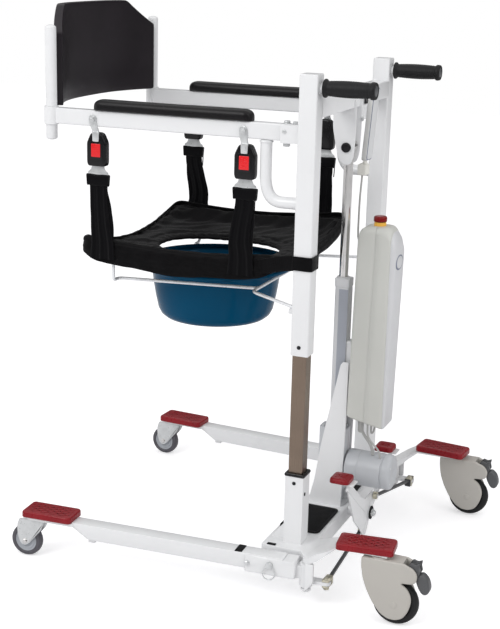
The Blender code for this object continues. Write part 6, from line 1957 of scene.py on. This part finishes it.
@dataclass
class Trimmings:
    """Small fittings: socket screws in the sleeves, clips on the legs, ribs on the mats, rings on the pins."""

    pin_x: float = 77.0
    knob: float = 22.0
    mat: tuple[Pair, Pair] = ((-37.0, 59.0), (50.0, 202.0))

    def pin(self, side: Side) -> Shape:
        """A lock pin's shank, knurled head and split ring in the leg's axes."""
        out, x = side.value, self.pin_x
        head = turned([(0.001, 0), (6.4, 0), (7.5, 1), (7.5, 7.6), (6.4, 9), (0.001, 9)], (x, out * self.knob, 90),
                      (0, out, 0), 40, False)
        shank = rod((x, out * 13, 90), (x, out * (self.knob + 1), 90), 4)
        a = full(72)
        ring = np.stack([x + 14 * np.sin(a), np.full(72, out * (self.knob + 6.0)), 71.5 + 14 * np.cos(a)], axis=-1)
        loop = swept(ring, circle(1.5, 12), (0, 1, 0), True)
        return joined(head, shank, loop)

    def leg(self, shop: Workshop, side: Side) -> None:
        """A leg's tube with its slanted front end and caster plate, the hinge's cover, flange and side bolt."""
        word, place, s = side.word, leg_place(side), side.value
        tube = prism(filleted([(48, 70.4), (512, 70.4), (519, 74), (556, 97), (561, 106.3), (48, 106.3)], 2.5, 3),
                     -19, 19, Plane.XZ, 1.6)
        plate = prism(oblong(60, 24, 8) + [609, 0], 97.2, 104.2, Plane.XY, 0.8)
        boss = rod((655, 0, 96.9), (655, 0, 104), 18)
        shop.piece(f"leg_tube_{word}", joined(tube, plate, boss).moved(place), PAINT, f"leg_{word}", f"leg_{word}")
        cap = prism(oblong(13.6, 19.2, 2) + [34.5, 0], 101.8, 103.6, Plane.XY, 0.5, 2)
        flange = prism(filleted([(-21, 106), (-3, 106), (-3, 39), (-21, 63)], 1.5, 3), *sorted((s * 14.5, s * 22)),
                       Plane.XZ, 0.8)
        glide = block((500, 517), (-11, 11), (61.5, 71), 1.0, 3)
        shop.piece(f"hinge_cover_{word}", joined(cap, flange, glide).moved(place), PAINT, f"leg_{word}")
        bolt = joined(rod((129, s * 21, 86), (129, s * 23.4, 86), 6.8, 0.4), hexagon((129, s * 23, 86),
                                                                                    (129, s * 27.6, 86), 5.4))
        shop.piece(f"leg_bolt_{word}", bolt.moved(place), ZINC, f"leg_{word}")

    def rocker(self, shop: Workshop) -> None:
        """The rocker's broad web, and the black washer and nut on its shaft."""
        web = filleted([(12, 50), (36, 50), (64, 76), (112, 116), (165, 205), (140, 215), (84, 168), (30, 140),
                        (-16, 140), (-36, 134), (-36, 118), (-12, 84)], 6, 4)
        shop.piece("rocker_web", prism(web, -93.2, -89.6, Plane.YZ, 0.8), PAINT, "rocker")
        shop.piece("shaft_washer", rod((-97.4, 0, 96), (-100.4, 0, 96), 16, 0.8, 48), MAT_RUBBER, "base")
        nut = joined(hexagon((-100.2, 0, 96), (-107, 0, 96), 9.4), rod((-106, 0, 96), (-110, 0, 96), 5.4, 1.2))
        shop.piece("shaft_nut", nut, ZINC, "base")

    def build(self, shop: Workshop) -> None:
        """Makes every fitting."""
        self.rocker(shop)
        for side in Side:
            s, word, place = side.value, side.word, leg_place(side)
            sockets = [rod((0, s * 269.8, 251), (0, s * 271.4, 251), 4.2, 1.0, 24),
                       rod((-20.8, s * 258, 225), (-22.4, s * 258, 225), 4.2, 1.0, 24)]
            shop.piece(f"sleeve_screws_{word}", joined(*sockets), BLACK_PLASTIC, "base")
            shop.piece(f"pull_pin_{word}", self.pin(side).moved(place), ZINC, f"lock_pin_{word}", f"lock_pin_{word}",
                       smooth=50)
            clip = prism(filleted([(143, -18), (160, -18), (160, 18), (143, 18)], 2, 3), 106.1, 107.4, Plane.XY, 0.5,
                         2)
            shop.piece(f"leg_clip_{word}", clip.moved(place), MAT_RUBBER, f"leg_{word}")
            stop = block((29, 49), (289, 298.5), (108.6, 110.4), 0.6, 1.5)
            shop.piece(f"leg_stop_{word}", stop.flipped(side), MAT_RUBBER, "base")
            self.leg(shop, side)
            (x0, x1), (y0, y1) = self.mat
            slab = prism(oblong((x1 - x0) / 2, (y1 - y0) / 2, 14, 8) + [(x0 + x1) / 2, (y0 + y1) / 2], 109.3, 112.6,
                         Plane.XY, 0.6, 2)
            ribs = [block((x0 + 6, x1 - 6), (y, y + 2.6), (112.2, 113.4), 0.5, 1.0)
                    for y in np.arange(y0 + 8, y1 - 9, 5.2)]
            shop.piece(f"ribbed_mat_{word}", joined(slab, *ribs).flipped(side), MAT_RUBBER, "base", f"foot_mat_{word}")
            rim = oblong(23, 23, 3, 6)
            hole = oblong(16.4, 16.4, 1.0, 6)
            levels = [(rim - np.sign(rim) * 0.8, 266.3), (rim, 267.2), (rim, 271.4), (rim - np.sign(rim) * 1.0, 272.8),
                      (hole + np.sign(hole) * 0.8, 272.8), (hole, 272.0), (hole, 266.3)]
            rings = np.array([raised(ring + [0, s * MAST_Y], z) for ring, z in levels])
            shop.piece(f"sleeve_collar_{word}", surface(rings, True), BLACK_PLASTIC, "base", f"column_collar_{word}")


POLISHED: tuple[tuple[str, Finish, float], ...] = (("base_frame", PAINT, 1.4), ("inner_column", STEEL, 2.2),
                                                   ("leg_hinge", PAINT, 1.0), ("spreader_rocker", PAINT, 1.0),
                                                   ("tie_rod", GREY_PAINT, 0.0),
                                                   ("handset_holder", BLACK_PLASTIC, 0.0),)


def polish_the_rest(shop: Workshop) -> None:
    """Gives every node that no new piece stands for its finish and rounded edges."""
    for node in sorted(shop.nodes):
        if node in shop.done:
            continue
        row = next(row for row in POLISHED if node.startswith(row[0]))
        shop.polish(node, *row[1:])


def main() -> None:
    """Builds the studio and every piece of the lift."""
    logging.basicConfig(level=logging.INFO, format="%(message)s")
    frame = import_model()
    Studio().build()
    shop = Workshop(frame["nodes"])
    for part in (LiftFrame(), Grips(), ArmRails(), Backrest(), Buckles(), Seat(), Pan(), Drive(), ControlBox(),
                 Handset(), CasterCovers(), RearCasters(), FrontCasters(), Trimmings()):
        part.build(shop)
    polish_the_rest(shop)


if __name__ == "__main__":
    main()
